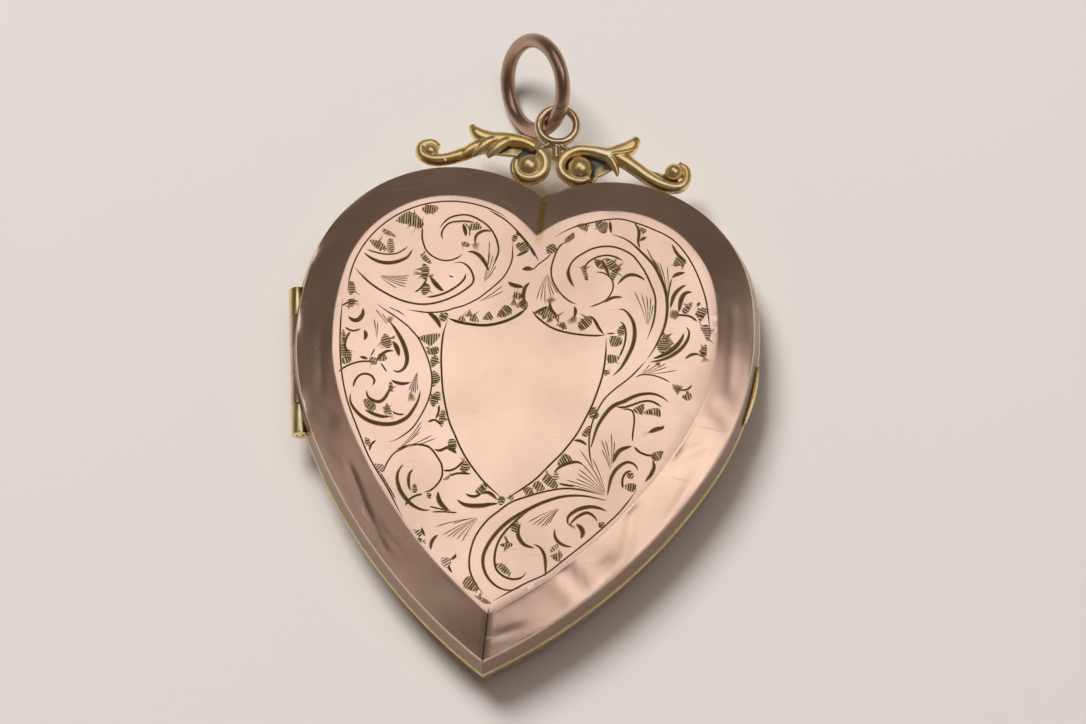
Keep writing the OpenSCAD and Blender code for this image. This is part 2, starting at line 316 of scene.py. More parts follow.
def card_paper():
    """Cream card with fibres, faint foxing and a soft tooth."""
    m = Surface("card_paper", (0.70, 0.63, 0.50), 0.85, metallic=0.0)
    fibre = m.noise(2200, 4, m.mapped((1, 3, 1), 30))
    foxing = m.ramp(m.noise(210, 5, roughness=0.6), 0.58, 0.78)
    tone = m.mix(m.ramp(fibre, 0.3, 0.7), (0.66, 0.58, 0.45), (0.76, 0.69, 0.56))
    m.link(m.mix(m.math("MULTIPLY", foxing, 0.6), tone, (0.42, 0.29, 0.16)), "Base Color")
    m.link(m.bump(fibre, 0.35, 0.00003), "Normal")
    return m


def celluloid():
    """Clear, faintly yellow window with rubbed haze and hair scratches."""
    m = Surface("celluloid", (0.86, 0.83, 0.72), 0.05, metallic=0.0)
    m.set("Alpha", 0.24).set("IOR", 1.49)
    hair = m.scratches(200)
    haze = m.ramp(m.noise(260, 4), 0.45, 0.75, 0.03, 0.12)
    m.link(m.math("ADD", haze, m.math("MULTIPLY", hair, 0.25)), "Roughness")
    m.link(m.bump(hair, 0.15, 0.000008), "Normal")
    return m


# ---------------------------------------------------------------- meshes
@contextmanager
def edited(mesh):
    """Opens a mesh for editing and writes it back."""
    work = bmesh.new()
    work.from_mesh(mesh)
    yield work
    work.to_mesh(mesh)
    work.free()


def new_object(name, verts, faces):
    mesh = bpy.data.meshes.new(name)
    mesh.from_pydata([tuple(v) for v in verts], [], faces)
    piece = bpy.data.objects.new(name, mesh)
    bpy.context.scene.collection.objects.link(piece)
    return piece


def solid_object(name, verts, faces, weld=False):
    """Closed body with its faces turned outward, ready for a boolean."""
    piece = new_object(name, verts, faces)
    with edited(piece.data) as work:
        if weld:
            bmesh.ops.remove_doubles(work, verts=work.verts, dist=1e-6)
        bmesh.ops.recalc_face_normals(work, faces=work.faces)
    return piece


def mesh_piece(name, verts, faces, surface, body, stands_for, smooth):
    finish_piece(new_object(name, verts, faces), surface, body, stands_for, smooth)


def finish_piece(piece, surface, body, stands_for, smooth):
    """Scales a millimetre piece to metres; it rides on a CAD body in place of a CAD node.

    Edges that turn by more than smooth degrees stay sharp.
    """
    mesh = piece.data
    with edited(mesh) as work:
        bmesh.ops.remove_doubles(work, verts=work.verts, dist=1e-5)
        bmesh.ops.recalc_face_normals(work, faces=work.faces)
    mesh.transform(Matrix.Scale(MM, 4))
    mesh.polygons.foreach_set("use_smooth", [True] * len(mesh.polygons))
    mesh.set_sharp_from_angle(angle=math.radians(smooth))
    mesh.materials.clear()
    mesh.materials.append(surface.material)
    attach(piece, body)
    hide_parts(stands_for)


def arc(c, r, a0, a1, steps, first=1):
    return [polar(c, r, a0 + (a1 - a0) * i / steps) for i in range(first, steps + 1)]


def heart(off):
    """Outline of the case grown by off, clockwise seen from +Z, starting at the notch."""
    steps = HEART_STEPS
    notch = math.acos(-LOBE[0] / (LOBE_R + off))
    tip = -math.acos(-SIDE_C[0] / (SIDE_R + off))
    half = (arc(LOBE, LOBE_R + off, notch, LOBE_END, steps[0], 0)
            + arc(FLANK_C, FLANK_R + off, LOBE_END, FLANK_END, steps[1])
            + arc(SIDE_C, SIDE_R + off, FLANK_END, tip, steps[2]))
    return half + [(-x, y) for x, y in half[-2:0:-1]]


def heart_offset(x, y):
    """Offset of the outline that runs through a point: negative inside the case."""
    x = abs(x)
    if math.atan2(y - LOBE[1], x - LOBE[0]) >= LOBE_END:
        return math.hypot(x - LOBE[0], y - LOBE[1]) - LOBE_R
    if math.atan2(y - FLANK_C[1], x - FLANK_C[0]) >= FLANK_END:
        return math.hypot(x - FLANK_C[0], y - FLANK_C[1]) - FLANK_R
    return math.hypot(x - SIDE_C[0], y - SIDE_C[1]) - SIDE_R


def ring_at(off, z):
    return [(x, y, z) for x, y in heart(off)]


def strip(n, a, b):
    """Quads between ring a and ring b of n points each."""
    return [(a * n + i, a * n + (i + 1) % n, b * n + (i + 1) % n, b * n + i) for i in range(n)]


def bands(n, rings, base=0):
    """Quads between rings of n points each, the first of which starts at vertex base."""
    return [tuple(base + i for i in f) for k in range(rings - 1) for f in strip(n, k, k + 1)]


def cap(n, k, base=0):
    """Flat face over ring k."""
    return tuple(range(base + k * n, base + (k + 1) * n))


def heart_loop(section, closed=True):
    """Band that follows the outline; section lists (offset, z) points."""
    verts = [p for off, z in section for p in ring_at(off, z)]
    m = len(section)
    n = len(verts) // m
    return verts, bands(n, m) + (strip(n, m - 1, 0) if closed else [])


def heart_slab(off, z0, z1, soft=0.03):
    """Heart-shaped plate with eased edges."""
    levels = [(off - soft, z0), (off, z0 + soft), (off, z1 - soft), (off - soft, z1)]
    verts, faces = heart_loop(levels, closed=False)
    n = len(verts) // len(levels)
    return verts, faces + [cap(n, 0), cap(n, 3)]


def carve(piece, *cutters):
    """Cuts the cutters out of a piece, removes them, and applies all the piece's modifiers."""
    for cutter in cutters:
        cut = piece.modifiers.new("cut", "BOOLEAN")
        cut.operation, cut.solver, cut.object = "DIFFERENCE", "EXACT", cutter
    done = bpy.data.meshes.new_from_object(piece.evaluated_get(bpy.context.evaluated_depsgraph_get()))
    piece.modifiers.clear()
    piece.data = done
    for cutter in cutters:
        bpy.data.objects.remove(cutter)


def on_hinge():
    """Frame whose +Z runs up the hinge axis."""
    return (Matrix.Translation(HINGE) @ Matrix.Rotation(HINGE_LEAN, 4, "Z")
            @ Matrix.Rotation(math.radians(-90), 4, "X"))


def lathe(profile, count=48, closed=True):
    """Profile of (radius, z) points turned round Z; closed joins its ends, else they're capped."""
    verts = [(r * math.cos(2 * math.pi * k / count), r * math.sin(2 * math.pi * k / count), z)
             for r, z in profile for k in range(count)]
    m = len(profile)
    ends = strip(count, m - 1, 0) if closed else [cap(count, 0), cap(count, m - 1)]
    return verts, bands(count, m) + ends


def placed(verts, matrix):
    return [tuple(matrix @ Vector(v)) for v in verts]


def hinge_cutter(own):
    """The room that one half leaves for the barrel: tight on its own knuckles, clear of the others.

    own is 0 for the half with the outer and middle knuckles, 1 for the other half.
    """
    profile = []
    step, half_gap, clear = BARREL_LEN / 5, KNUCKLE_GAP / 2, 0.05
    for i in range(5):
        mine = i % 2 == own
        low = -BARREL_LEN / 2 + i * step + (half_gap if mine else -half_gap)
        high = -BARREL_LEN / 2 + (i + 1) * step + (-half_gap if mine else half_gap)
        low -= clear if i == 0 else 0
        high += clear if i == 4 else 0
        r = BARREL_R if mine else BARREL_R + clear
        profile += [(r, low), (r, high)]
    verts, faces = lathe(profile, closed=False)
    return solid_object("hinge_cutter", placed(verts, on_hinge()), faces)


def band_object(name, section):
    return solid_object(name, *heart_loop(section))


# ---------------------------------------------------------------- engraving
def catmull(points, t):
    """Point of a Catmull-Rom curve; t counts the given points."""
    n = len(points) - 1
    i = min(int(t), n - 1)
    u = t - i
    a, b = points[max(i - 1, 0)], points[i]
    c, d = points[i + 1], points[min(i + 2, n)]
    return 0.5 * (2 * b + (c - a) * u + (2 * a - 5 * b + 4 * c - d) * u ** 2
                  + (3 * b - a - 3 * c + d) * u ** 3)


def smooth_path(points, step):
    """Evenly spaced points on a smooth curve through the given ones."""
    points = [np.array(p, float) for p in points]
    if len(points) == 2:
        dense = np.array([points[0] + (points[1] - points[0]) * k / 12 for k in range(13)])
    else:
        dense = np.array([catmull(points, k / 8) for k in range((len(points) - 1) * 8 + 1)])
    reach = np.concatenate([[0], np.cumsum(np.linalg.norm(np.diff(dense[:, :2], axis=0), axis=1))])
    count = max(3, int(reach[-1] / step) + 1)
    at = np.linspace(0, reach[-1], count)
    return np.stack([np.interp(at, reach, dense[:, k]) for k in range(dense.shape[1])], 1)


def line_swell(u):
    """A plain graver line: even, with short tapered ends."""
    return min(1.0, (min(u, 1 - u) * 9 + 0.12))


def leaf_swell(u):
    """A cut that swells in its middle."""
    return 0.12 + 0.88 * math.sin(math.pi * u) ** 0.7


def tail_swell(u):
    """A flick that starts wide and runs out thin."""
    return 0.10 + 0.90 * min(1.0, u * 8) * (1 - u) ** 0.8


GROUND_DEPTH = 0.012


class Engraving:
    """Cuts in the flat field: each a V-groove with a centre line and two edges."""

    def __init__(self, boundary):
        self.points, self.edges, self.cuts, self.grounds = [], [], [], []
        self.ring = self.polyline(boundary, closed=True)

    def polyline(self, points, closed=False):
        first = len(self.points)
        self.points += [tuple(p) for p in points]
        ids = list(range(first, len(self.points)))
        self.edges += list(zip(ids, ids[1:])) + ([(ids[-1], ids[0])] if closed else [])
        return ids

    def cut(self, points, width, swell=line_swell, tone=1.0, step=0.16, depth=0.62):
        """One groove of half-width `width` along points."""
        path = smooth_path(points, step)
        inside = [heart_offset(x, y) < FIELD_OFF - 0.035 - width * 0.4 for x, y in path]
        path = path[inside]
        if len(path) < 3:
            return
        n = len(path)
        half = np.array([width * swell(i / (n - 1)) for i in range(n)])
        half[0] = half[-1] = 0.0
        along = np.gradient(path, axis=0)
        along /= np.linalg.norm(along, axis=1)[:, None] + 1e-12
        side = np.stack([-along[:, 1], along[:, 0]], 1) * half[:, None]
        self.polyline(path[:1].tolist() + (path + side)[1:-1].tolist() + path[-1:].tolist()
                      + (path - side)[-2:0:-1].tolist(), closed=True)
        self.polyline(path)
        self.cuts.append((path, half, depth, tone))

    def ground(self, outline, tone):
        """Shallow matted ground inside an outline, with a short slope at its edge."""
        mid, slope = np.mean(outline, axis=0), 0.035
        inner = [tuple(mid + (np.array(p) - mid) * (1 - slope / max(0.08, math.dist(p, mid))))
                 for p in outline]
        self.polyline(outline, closed=True)
        self.polyline(inner, closed=True)
        self.grounds.append((np.array(inner), tone))

    def mesh(self):
        """(vertices with their depth and tone, triangles) of the whole field."""
        points = [Vector(p) for p in self.points]
        found = geometry.delaunay_2d_cdt(points, self.edges, [self.ring], 1, 1e-5, False)
        flat = np.array([tuple(v) for v in found[0]])
        depth, tone = np.zeros(len(flat)), np.zeros(len(flat))
        for path, half, k, darkness in self.cuts:
            low, high = path.min(0) - half.max(), path.max(0) + half.max()
            near = np.where(np.all((flat >= low) & (flat <= high), axis=1))[0]
            if not len(near):
                continue
            p = flat[near][:, None, :]
            a, b = path[None, :-1], path[None, 1:]
            ab = b - a
            u = np.clip(((p - a) * ab).sum(-1) / ((ab ** 2).sum(-1) + 1e-12), 0, 1)
            away = np.linalg.norm(p - (a + ab * u[..., None]), axis=-1)
            wide = half[None, :-1] * (1 - u) + half[None, 1:] * u
            drop = np.clip(wide - away, 0, None)
            best = drop.argmax(1)
            rows = np.arange(len(near))
            d, full = drop[rows, best] * k, wide[rows, best]
            deeper = d > depth[near]
            depth[near[deeper]] = d[deeper]
            tone[near[deeper]] = darkness * np.clip(d[deeper] / (full[deeper] * k + 1e-9) * 1.3, 0, 1)
        for outline, darkness in self.grounds:
            inside = within(flat, outline)
            depth[inside] = np.maximum(depth[inside], GROUND_DEPTH)
            tone[inside] = np.maximum(tone[inside], darkness)
        triangles = [f for f in found[2] if heart_offset(*flat[list(f)].mean(0)) < FIELD_OFF + 0.02]
        return flat, depth, tone, triangles


def within(points, outline):
    """Which points lie inside or on a small outline."""
    mid = outline.mean(0)
    ring = mid + (outline - mid) * 1.02
    inside = np.zeros(len(points), bool)
    for (x0, y0), (x1, y1) in zip(ring, np.roll(ring, -1, axis=0)):
        spans = (y0 > points[:, 1]) != (y1 > points[:, 1])
        inside ^= spans & (points[:, 0] < (x1 - x0) * (points[:, 1] - y0) / (y1 - y0 + 1e-12) + x0)
    return inside


def rounded(corners, per=4):
    """Closed smooth outline through the corners."""
    pts = [np.array(c, float) for c in corners]
    n = len(pts)
    outline = []
    for i in range(n):
        window = [pts[(i - 1) % n], pts[i], pts[(i + 1) % n], pts[(i + 2) % n]]
        outline += [tuple(catmull(window, 1 + k / per)) for k in range(per)]
    return outline


def pairs(numbers):
    return [(numbers[i], numbers[i + 1]) for i in range(0, len(numbers), 2)]


def hatch(field, numbers, seed, tone=1.0):
    """Fills a small polygon with short wavering parallel cuts across its long side."""
    pitch, width, shortest = 0.14, 0.050, 0.07
    corners = rounded(pairs(numbers))
    if all(heart_offset(x, y) < FIELD_OFF - 0.04 for x, y in corners):
        field.ground(corners, 0.14 * tone)
    rng = random.Random(seed)
    xs, ys = [c[0] for c in corners], [c[1] for c in corners]
    mid = (sum(xs) / len(xs), sum(ys) / len(ys))
    sxx = sum((x - mid[0]) ** 2 for x in xs)
    syy = sum((y - mid[1]) ** 2 for y in ys)
    sxy = sum((x - mid[0]) * (y - mid[1]) for x, y in corners)
    long_way = 0.5 * math.atan2(2 * sxy, sxx - syy)
    turn = long_way + math.radians(90 + rng.uniform(-14, 14))
    d, e = (math.cos(turn), math.sin(turn)), (-math.sin(turn), math.cos(turn))
    across = [(x - mid[0]) * e[0] + (y - mid[1]) * e[1] for x, y in corners]
    s = min(across) + pitch * 0.5
    while s < max(across):
        hits = crossings(corners, mid, d, e, s)
        for a, b in zip(hits[::2], hits[1::2]):
            if b - a > shortest:
                bow = rng.uniform(-0.03, 0.03)
                pts = [tuple(mid[i] + e[i] * (s + bow * w) + d[i] * t for i in (0, 1))
                       for t, w in ((a, 0), ((a + b) / 2, 1), (b, 0))]
                field.cut(pts, width * rng.uniform(0.85, 1.1), line_swell, tone, 0.07)
        s += pitch * rng.uniform(0.9, 1.1)


def crossings(corners, mid, d, e, s):
    """Where the line at distance s along e crosses the polygon, as sorted positions along d."""
    hits = []
    for (x0, y0), (x1, y1) in zip(corners, corners[1:] + corners[:1]):
        s0 = (x0 - mid[0]) * e[0] + (y0 - mid[1]) * e[1] - s
        s1 = (x1 - mid[0]) * e[0] + (y1 - mid[1]) * e[1] - s
        if (s0 < 0) != (s1 < 0):
            u = s0 / (s0 - s1)
            hits.append((x0 + (x1 - x0) * u - mid[0]) * d[0] + (y0 + (y1 - y0) * u - mid[1]) * d[1])
    return sorted(hits)


# Cuts as (half-width, x, y, x, y, ...) in the plane of the field.
BORDER = [
    (0.05, 1, 10.08, 1.5, 10.5, 2.17, 10.92, 3, 11.25, 4, 11.58, 5, 11.67, 6.67, 11.25, 8, 10.63, 9.17,
    9.3, 10.08, 7.42, 10.5, 5.75, 10.63, 5), (0.05, 7.5, -4.83, 7.08, -5.58, 6.5, -6.5, 5.25, -8, 3.83,
    -9.5, 2.92, -10.42, 2, -11, 1.17, -11.58, 0.17, -12.33), (0.05, -3, 11.46, -2, 10.96, -1.5, 10.58,
    -1, 10.13, -0.5, 9.63, -0.08, 9.12, 0.17, 8.7, 0.33, 8.46), (0.05, -1.3, 10.3, -0.8, 9.85, -0.35,
    9.35, 0.05, 8.75), (0.05, -10.73, 5, -10.54, 2.67, -10.17, 0.58, -9.58, -1.25, -8.75, -2.92, -8,
    -4.33, -7.5, -5.08, -6.5, -6.42, -5.5, -7.92, -4.5, -9.17, -4, -9.67, -3.33, -10.33), (0.04, -7.1,
    -5.45, -6.6, -6.1, -6, -6.95),
]
SHIELD = [
    (0.06, -4.47, 4.38, -4.63, 3.33, -4.58, 2.08, -4.42, 1, -4.21, -0.08, -3.92, -1.08, -3.58, -2,
    -3.17, -2.75, -2.75, -3.5, -2.25, -4.21, -1.67, -4.88, -1.04, -5.5, -0.33, -6.04, 0.02, -6.35),
    (0.06, 4.7, 4.25, 4.79, 3.42, 4.81, 2.58, 4.75, 1.67, 4.58, 0.75, 4.38, -0.08, 4.13, -0.83, 3.79,
    -1.75, 3.5, -2.33, 3, -3.17, 2.5, -3.83, 1.75, -4.83, 1.17, -5.42, 0.5, -6, 0.05, -6.35), (0.095,
    -4.5, 4.38, -3.75, 4.18, -2.5, 4.13, -1.5, 4.38, -0.63, 4.88, 0, 5.5), (0.065, 0.25, 5.38, 0.75,
    4.88, 1.63, 4.38, 2.75, 4.18, 4, 4.18, 4.7, 4.3),
]
LEFT_LOBE = [
    (0.065, -10.3, 7, -9.9, 6.6, -9.33, 6.13, -8.6, 5.7, -7.67, 5.3, -6.83, 5.1, -6, 5.08, -5.17, 5.3,
    -4.33, 5.75, -3.67, 6.3, -3.33, 6.75, -3.37, 7.17, -3.67, 7.67, -4.08, 7.93, -4.42, 7.92, -4.67,
    7.8), (0.07, -3.85, 7.3, -3.83, 7, -4.08, 6.58, -4.5, 6.17, -4.92, 5.88, -5.5, 5.63, -5.92, 5.54),
    (0.06, -4.8, 7.08, -4.65, 6.98, -4.45, 6.97), (0.055, -4.15, 8.55, -4.33, 8.29, -4.75, 8.04, -5.25,
    7.96, -5.83, 8.13, -6.29, 8.5, -6.58, 9.08, -6.67, 9.5, -6.7, 9.83, -6.83, 10.1), (0.06, -5.7, 9.92,
    -5.58, 10.25, -5.25, 10.67, -4.75, 10.92, -4.17, 11, -3.58, 10.83, -3, 10.5, -2.58, 10.08, -2.25,
    9.5, -2.1, 8.9, -2.17, 8.4, -2.33, 7.8), (0.06, -5.4, 9.29, -5.54, 9.58, -5.46, 10, -5.17, 10.38,
    -4.67, 10.54, -4.17, 10.6, -3.67, 10.54), (0.1, -4.4, 10.45, -4.2, 10, -4.1, 9.6), (0.04, -4.3,
    10.5, -3.95, 10.1, -3.9, 9.6), (0.08, -2.6, 10.1, -3, 10.13, -3.33, 9.96, -3.54, 9.67, -3.5, 9.17),
    (0.1, -3.92, 8.67, -3.58, 8.68, -3.25, 8.54, -3, 8.33, -2.75, 8, -2.5, 7.55), (0.05, -9.79, 8.2,
    -9.33, 8.08, -8.67, 8, -8.08, 8.08, -7.67, 8.33, -7.37, 8.65), (0.1, -9.9, 8, -9.58, 7.75, -9, 7.5,
    -8.4, 7.46, -7.83, 7.62, -7.33, 7.96, -7.08, 8.5), (0.06, -6, 6.75, -6.15, 6.35, -6.4, 5.95, -6.65,
    5.78), (0.12, -5.85, 6.85, -5.5, 6.45, -5.1, 6.1, -4.9, 6.05), (0.05, -1.33, 9.58, -1.29, 9, -1.25,
    8.5, -1.33, 8, -1.54, 7.42, -1.83, 6.96, -2.25, 6.46, -2.75, 5.92, -3, 5.7, -3.67, 5.25, -4.17,
    5.04, -4.83, 4.75, -5.67, 4.6, -6.5, 4.62, -7, 4.66), (0.08, -1.05, 8.67, -0.75, 8.87, -0.42, 9.08),
    (0.12, -1.35, 7.02, -0.95, 6.82, -0.35, 6.78), (0.1, -0.04, 7.13, -0.25, 6.83, -0.33, 6.5, -0.29,
    6.08, -0.13, 5.75),
]
RIGHT_LOBE = [
    (0.055, 1.88, 9.88, 1.54, 9.75, 1.29, 9.33, 1.17, 8.83, 1.08, 8.17, 1.17, 7.58, 1.42, 7.08, 1.83,
    6.58, 2.33, 6.2, 2.88, 6), (0.045, 1, 9.08, 0.67, 8.67, 0.33, 8.33, 0.08, 8, -0.17, 7.88, -0.5,
    7.83), (0.12, -0.62, 7.9, -0.3, 7.97, 0, 8.05), (0.06, 2.54, 7.1, 2.25, 7.5, 2.08, 8, 2.17, 8.5,
    2.42, 8.92, 2.83, 9.29, 3.33, 9.63, 3.92, 9.83, 4.5, 9.87, 5.08, 9.75, 5.67, 9.46, 6, 9.13, 6.5,
    8.5, 6.92, 7.75, 7.25, 7, 7.35, 6.17, 7.32, 5.42, 7.17, 4.67, 7.04, 4.17), (0.09, 2.54, 7.1, 2.25,
    7.5, 2.08, 8, 2.17, 8.45), (0.06, 3, 8.17, 3.04, 8.5, 3.25, 8.83, 3.67, 9.13, 4.17, 9.29, 4.67,
    9.25, 5.2, 9.04), (0.05, 3.63, 8.17, 4.08, 8.17, 4.5, 7.96, 4.75, 7.58, 4.75, 7.08, 4.5, 6.54, 4.08,
    6.2, 3.5, 5.92), (0.08, 4.38, 6.3, 4.83, 6.67, 5.42, 6.75), (0.09, 3.92, 9.04, 4.17, 8.58, 4.5, 8),
    (0.09, 5, 7.5, 5.3, 7.95, 5.65, 8.2, 6.1, 8.2, 6.6, 7.95), (0.08, 4.13, 11.54, 4.25, 10.92, 4.33,
    10.7), (0.08, 4.33, 10.67, 5, 10.5, 5.5, 10.25, 5.88, 9.96, 6.5, 9.42, 7, 8.92, 7.42, 8.25, 7.75,
    7.58, 7.96, 6.83, 8.04, 6, 7.98, 5.17, 7.8, 4.5, 7.54, 3.75, 7.17, 3), (0.05, 8.04, 6.17, 8, 7.08,
    8.04, 7.83, 8.1, 8.25), (0.1, 8.1, 8.25, 8.33, 8.5, 8.83, 8.7), (0.08, 7.88, 10.42, 8.25, 9.83,
    8.75, 9.38), (0.08, 5.54, 11.54, 5.8, 11.25, 5.92, 10.83, 5.92, 10.33, 6.08, 9.92), (0.09, 6.4,
    10.7, 6.2, 10.6, 6, 10.4), (0.1, 9, 7.93, 8.67, 7.7, 8.33, 7.17, 8.2, 6.33), (0.12, 9.38, 7.5, 9,
    7.42, 8.8, 7.08, 8.73, 6.58, 8.73, 6.17), (0.07, 8.63, 5.98, 9, 6, 9.42, 5.96, 9.83, 5.7), (0.09,
    9.9, 6.95, 9.8, 6.8, 9.7, 6.6), (0.08, 10.17, 3.67, 9.75, 3.63, 9.33, 3.3), (0.12, 9.13, 4.92, 9.04,
    4.5, 8.75, 4, 8.33, 3.58, 7.83, 3.25, 7.5, 3.13), (0.09, 9.2, 5.33, 9.42, 5, 9.38, 4.5, 9.08, 3.92,
    8.58, 3.42, 8, 3.08, 7.33, 2.88), (0.1, 5.2, 5.96, 5.5, 6, 5.88, 5.7, 6.2, 5.17, 6.33, 4.5, 6.29,
    3.83, 6.08, 3.1, 5.75, 2.33, 5.33, 1.79), (0.06, 5.38, 5.25, 5.67, 5, 5.82, 4.5, 5.8, 3.75, 5.58,
    2.95), (0.08, 3.63, 5.42, 3.92, 5.17, 4.25, 4.67, 4.58, 4.3), (0.05, 4.67, 4.38, 5, 4.42, 5.25,
    4.5), (0.09, 1.25, 6.08, 1.33, 5.6, 1.75, 5.17), (0.08, 0.33, 5.17, 0.75, 5.42, 1.17, 5.75), (0.09,
    2.67, 5.92, 2.79, 5.58, 2.75, 5.17),
]
MIDDLE_LEFT = [
    (0.06, -10.73, 4.46, -10.25, 4.8, -9.75, 4.88), (0.12, -10.25, 3.88, -9.96, 3.67, -9.63, 3.7, -9.42,
    4.08, -9.46, 4.5), (0.06, -10.33, 3.2, -10.08, 3.04, -9.75, 3, -9.38, 3.18), (0.07, -9.96, 2.96,
    -10.13, 2.58, -10.17, 2.08, -10, 1.6), (0.1, -9.2, 3.15, -9.05, 2.8, -9.1, 2.45), (0.06, -10.33,
    0.33, -10.08, 0.63, -9.67, 0.92, -9.17, 1.13, -8.63, 1.21, -8.3, 1.2), (0.08, -9.25, 1.45, -8.7,
    1.35), (0.08, -8.29, 1.13, -8.08, 1.58, -7.75, 1.92, -7.29, 2.02), (0.12, -7.5, 2.63, -7.17, 2.21,
    -6.96, 1.67), (0.05, -8, 1.21, -7.75, 0.92, -7.52, 0.63), (0.05, -8.62, 1.5, -8.4, 2.1), (0.11,
    -7.83, 3.83, -7.33, 3.25, -6.83, 2.5, -6.52, 1.75, -6.5, 1.25, -6.67, 0.88, -6.96, 0.73, -7.23,
    0.85), (0.05, -8.75, 4.88, -8.17, 4.5, -7.5, 4.13, -6.79, 3.67, -6.5, 3.42, -6, 2.92, -5.58, 2.25,
    -5.21, 1.5, -4.96, 0.75, -4.87, 0, -4.96, -0.83, -5.21, -1.67, -5.58, -2.5, -6, -3, -6.5, -3.42,
    -6.92, -3.57), (0.12, -5.75, 4.63, -5.33, 4.38, -5, 4.04, -4.83, 3.67), (0.07, -4.32, -1, -4.27,
    -1.42, -4.38, -1.92), (0.07, -4.83, -2.15, -4.42, -1.96, -4, -2.25), (0.07, -9.33, -0.5, -9.29,
    -0.08, -9.08, 0.29, -8.75, 0.43, -8.38, 0.33, -8.17, 0.04, -8.25, -0.29), (0.09, -8.54, -0.54,
    -8.46, -0.88, -8.17, -1.13, -7.75, -1.21, -7.46, -0.96, -7.25, -0.42, -7.2, 0), (0.09, -7.25, 0.23,
    -6.92, 0.07, -6.5, 0.04, -6.08, 0.18), (0.11, -5.48, -0.25, -5.52, -0.83, -5.75, -1.5, -6.08, -2.04,
    -6.67, -2.42, -7.33, -2.54, -8, -2.46, -8.58, -2.21, -9.08, -1.79, -9.38, -1.33, -9.43, -0.83),
    (0.06, -6.92, -1.67, -6.67, -1.83, -6.17, -1.83), (0.09, -6.92, -2, -7.42, -2.08, -8, -1.96, -8.5,
    -1.75), (0.08, -4.25, -3.71, -3.92, -3.79, -3.58, -3.58, -3.3, -3.35), (0.05, -6.38, -4, -5.75,
    -3.67, -5, -3.52, -4.42, -3.63),
]
MIDDLE_RIGHT = [
    (0.05, 7.17, 3, 6.67, 2.25, 6.17, 1.63, 5.58, 1.04, 5.08, 0.42, 4.79, -0.17, 4.58, -0.83, 4.48,
    -1.33, 4.43, -2, 4.48, -2.58, 4.63, -3.33, 4.88, -3.92), (0.045, 6.67, 1.83, 6.92, 2.04, 7.5, 2.1,
    8.08, 2, 8.67, 1.77), (0.06, 9.17, 1.38, 9.5, 1.38, 9.79, 1.54, 9.9, 1.79), (0.1, 4.58, -2.75, 4.67,
    -2.17, 4.79, -1.5, 5.04, -0.83, 5.38, -0.25, 5.71, 0.08, 6.17, 0.33, 6.67, 0.67, 7.17, 0.88, 7.75,
    0.96, 8.25, 0.83, 8.71, 0.54), (0.07, 5.71, -0.04, 6.17, -0.04, 6.67, 0.17, 7.17, 0.42, 7.67, 0.5,
    8.13, 0.33, 8.3, 0.17), (0.055, 6.08, -0.17, 6.5, -0.13, 6.75, -0.29, 6.87, -0.83, 6.86, -1.5, 6.89,
    -2.08), (0.11, 6.92, -2.33, 6.5, -2.5, 6.17, -2.75, 6, -3.17, 5.92, -3.5), (0.07, 7, -2.33, 7.33,
    -2.63, 7.83, -2.79, 8.17, -2.75), (0.1, 8.13, -3.04, 8.27, -3.42, 8.13, -3.95, 7.83, -4.42), (0.12,
    7.71, -1.43, 8.17, -1.17, 8.5, -1.04, 8.6, -0.88), (0.09, 5.83, -5.46, 5.88, -4.75, 5.96, -4.25,
    6.21, -3.75, 6.67, -3.35, 7.08, -3.38, 7.33, -3.63, 7.38, -3.8), (0.08, 3.54, -2.33, 4, -2.35, 4.38,
    -2.58),
]
LOWER_LEFT = [
    (0.07, -7.58, -3.54, -7.82, -3.83, -7.88, -4.25), (0.05, -5.67, -3.58, -6, -3.88, -6.42, -4.17,
    -6.67, -4.58, -6.83, -5, -6.92, -5.42), (0.06, -5.33, -3.6, -4.83, -3.57, -4.42, -3.71, -4, -4.17,
    -3.71, -4.58, -3.58, -5.08, -3.63, -5.5, -3.88, -5.96, -4.17, -6.25, -4.54, -6.38), (0.1, -5.83,
    -4.79, -6.04, -5.17, -6.1, -5.58, -6, -6, -5.75, -6.5, -5.33, -6.96, -4.92, -7.25, -4.42, -7.42,
    -3.96, -7.38), (0.08, -5.23, -5.04, -5.42, -5.33, -5.43, -5.75, -5.33, -6.17, -5.17, -6.38), (0.07,
    -5.42, -7.29, -5.25, -6.92, -4.92, -6.63, -4.5, -6.48), (0.12, -3.67, -6.21, -3.63, -6.58, -3.38,
    -7, -2.92, -7.29), (0.05, -4.08, -7.17, -3.5, -7.25, -2.92, -7.31), (0.05, -3.88, -7.48, -3.17,
    -7.4, -2.42, -7.38), (0.1, -3.58, -3.6, -3.2, -3.65, -2.92, -3.88), (0.07, -3.58, -4.96, -3.08,
    -4.88, -2.71, -4.58, -2.46, -4.21), (0.07, -3.17, -5.25, -2.75, -5.04, -2.33, -5, -1.96, -4.98),
    (0.12, -2.58, -6.58, -2.17, -6.83, -1.67, -6.88, -1.04, -6.79, -0.75, -6.7, -0.2, -6.57), (0.08,
    -2.13, -6.17, -1.92, -6.29, -1.58, -6.31, -1.2, -6.1), (0.09, -1.33, -6.13, -0.92, -5.98, -0.58,
    -6.13, -0.29, -6.38), (0.08, -4.33, -8.42, -4.25, -8.7, -4.04, -8.96), (0.09, -3.33, -8.77, -3.54,
    -9, -3.67, -9.33, -3.63, -9.75), (0.08, -2.21, -9.75, -2.25, -10, -2.5, -10.17), (0.07, -2.58,
    -10.42, -2.42, -10.75, -2.25, -10.96),
]
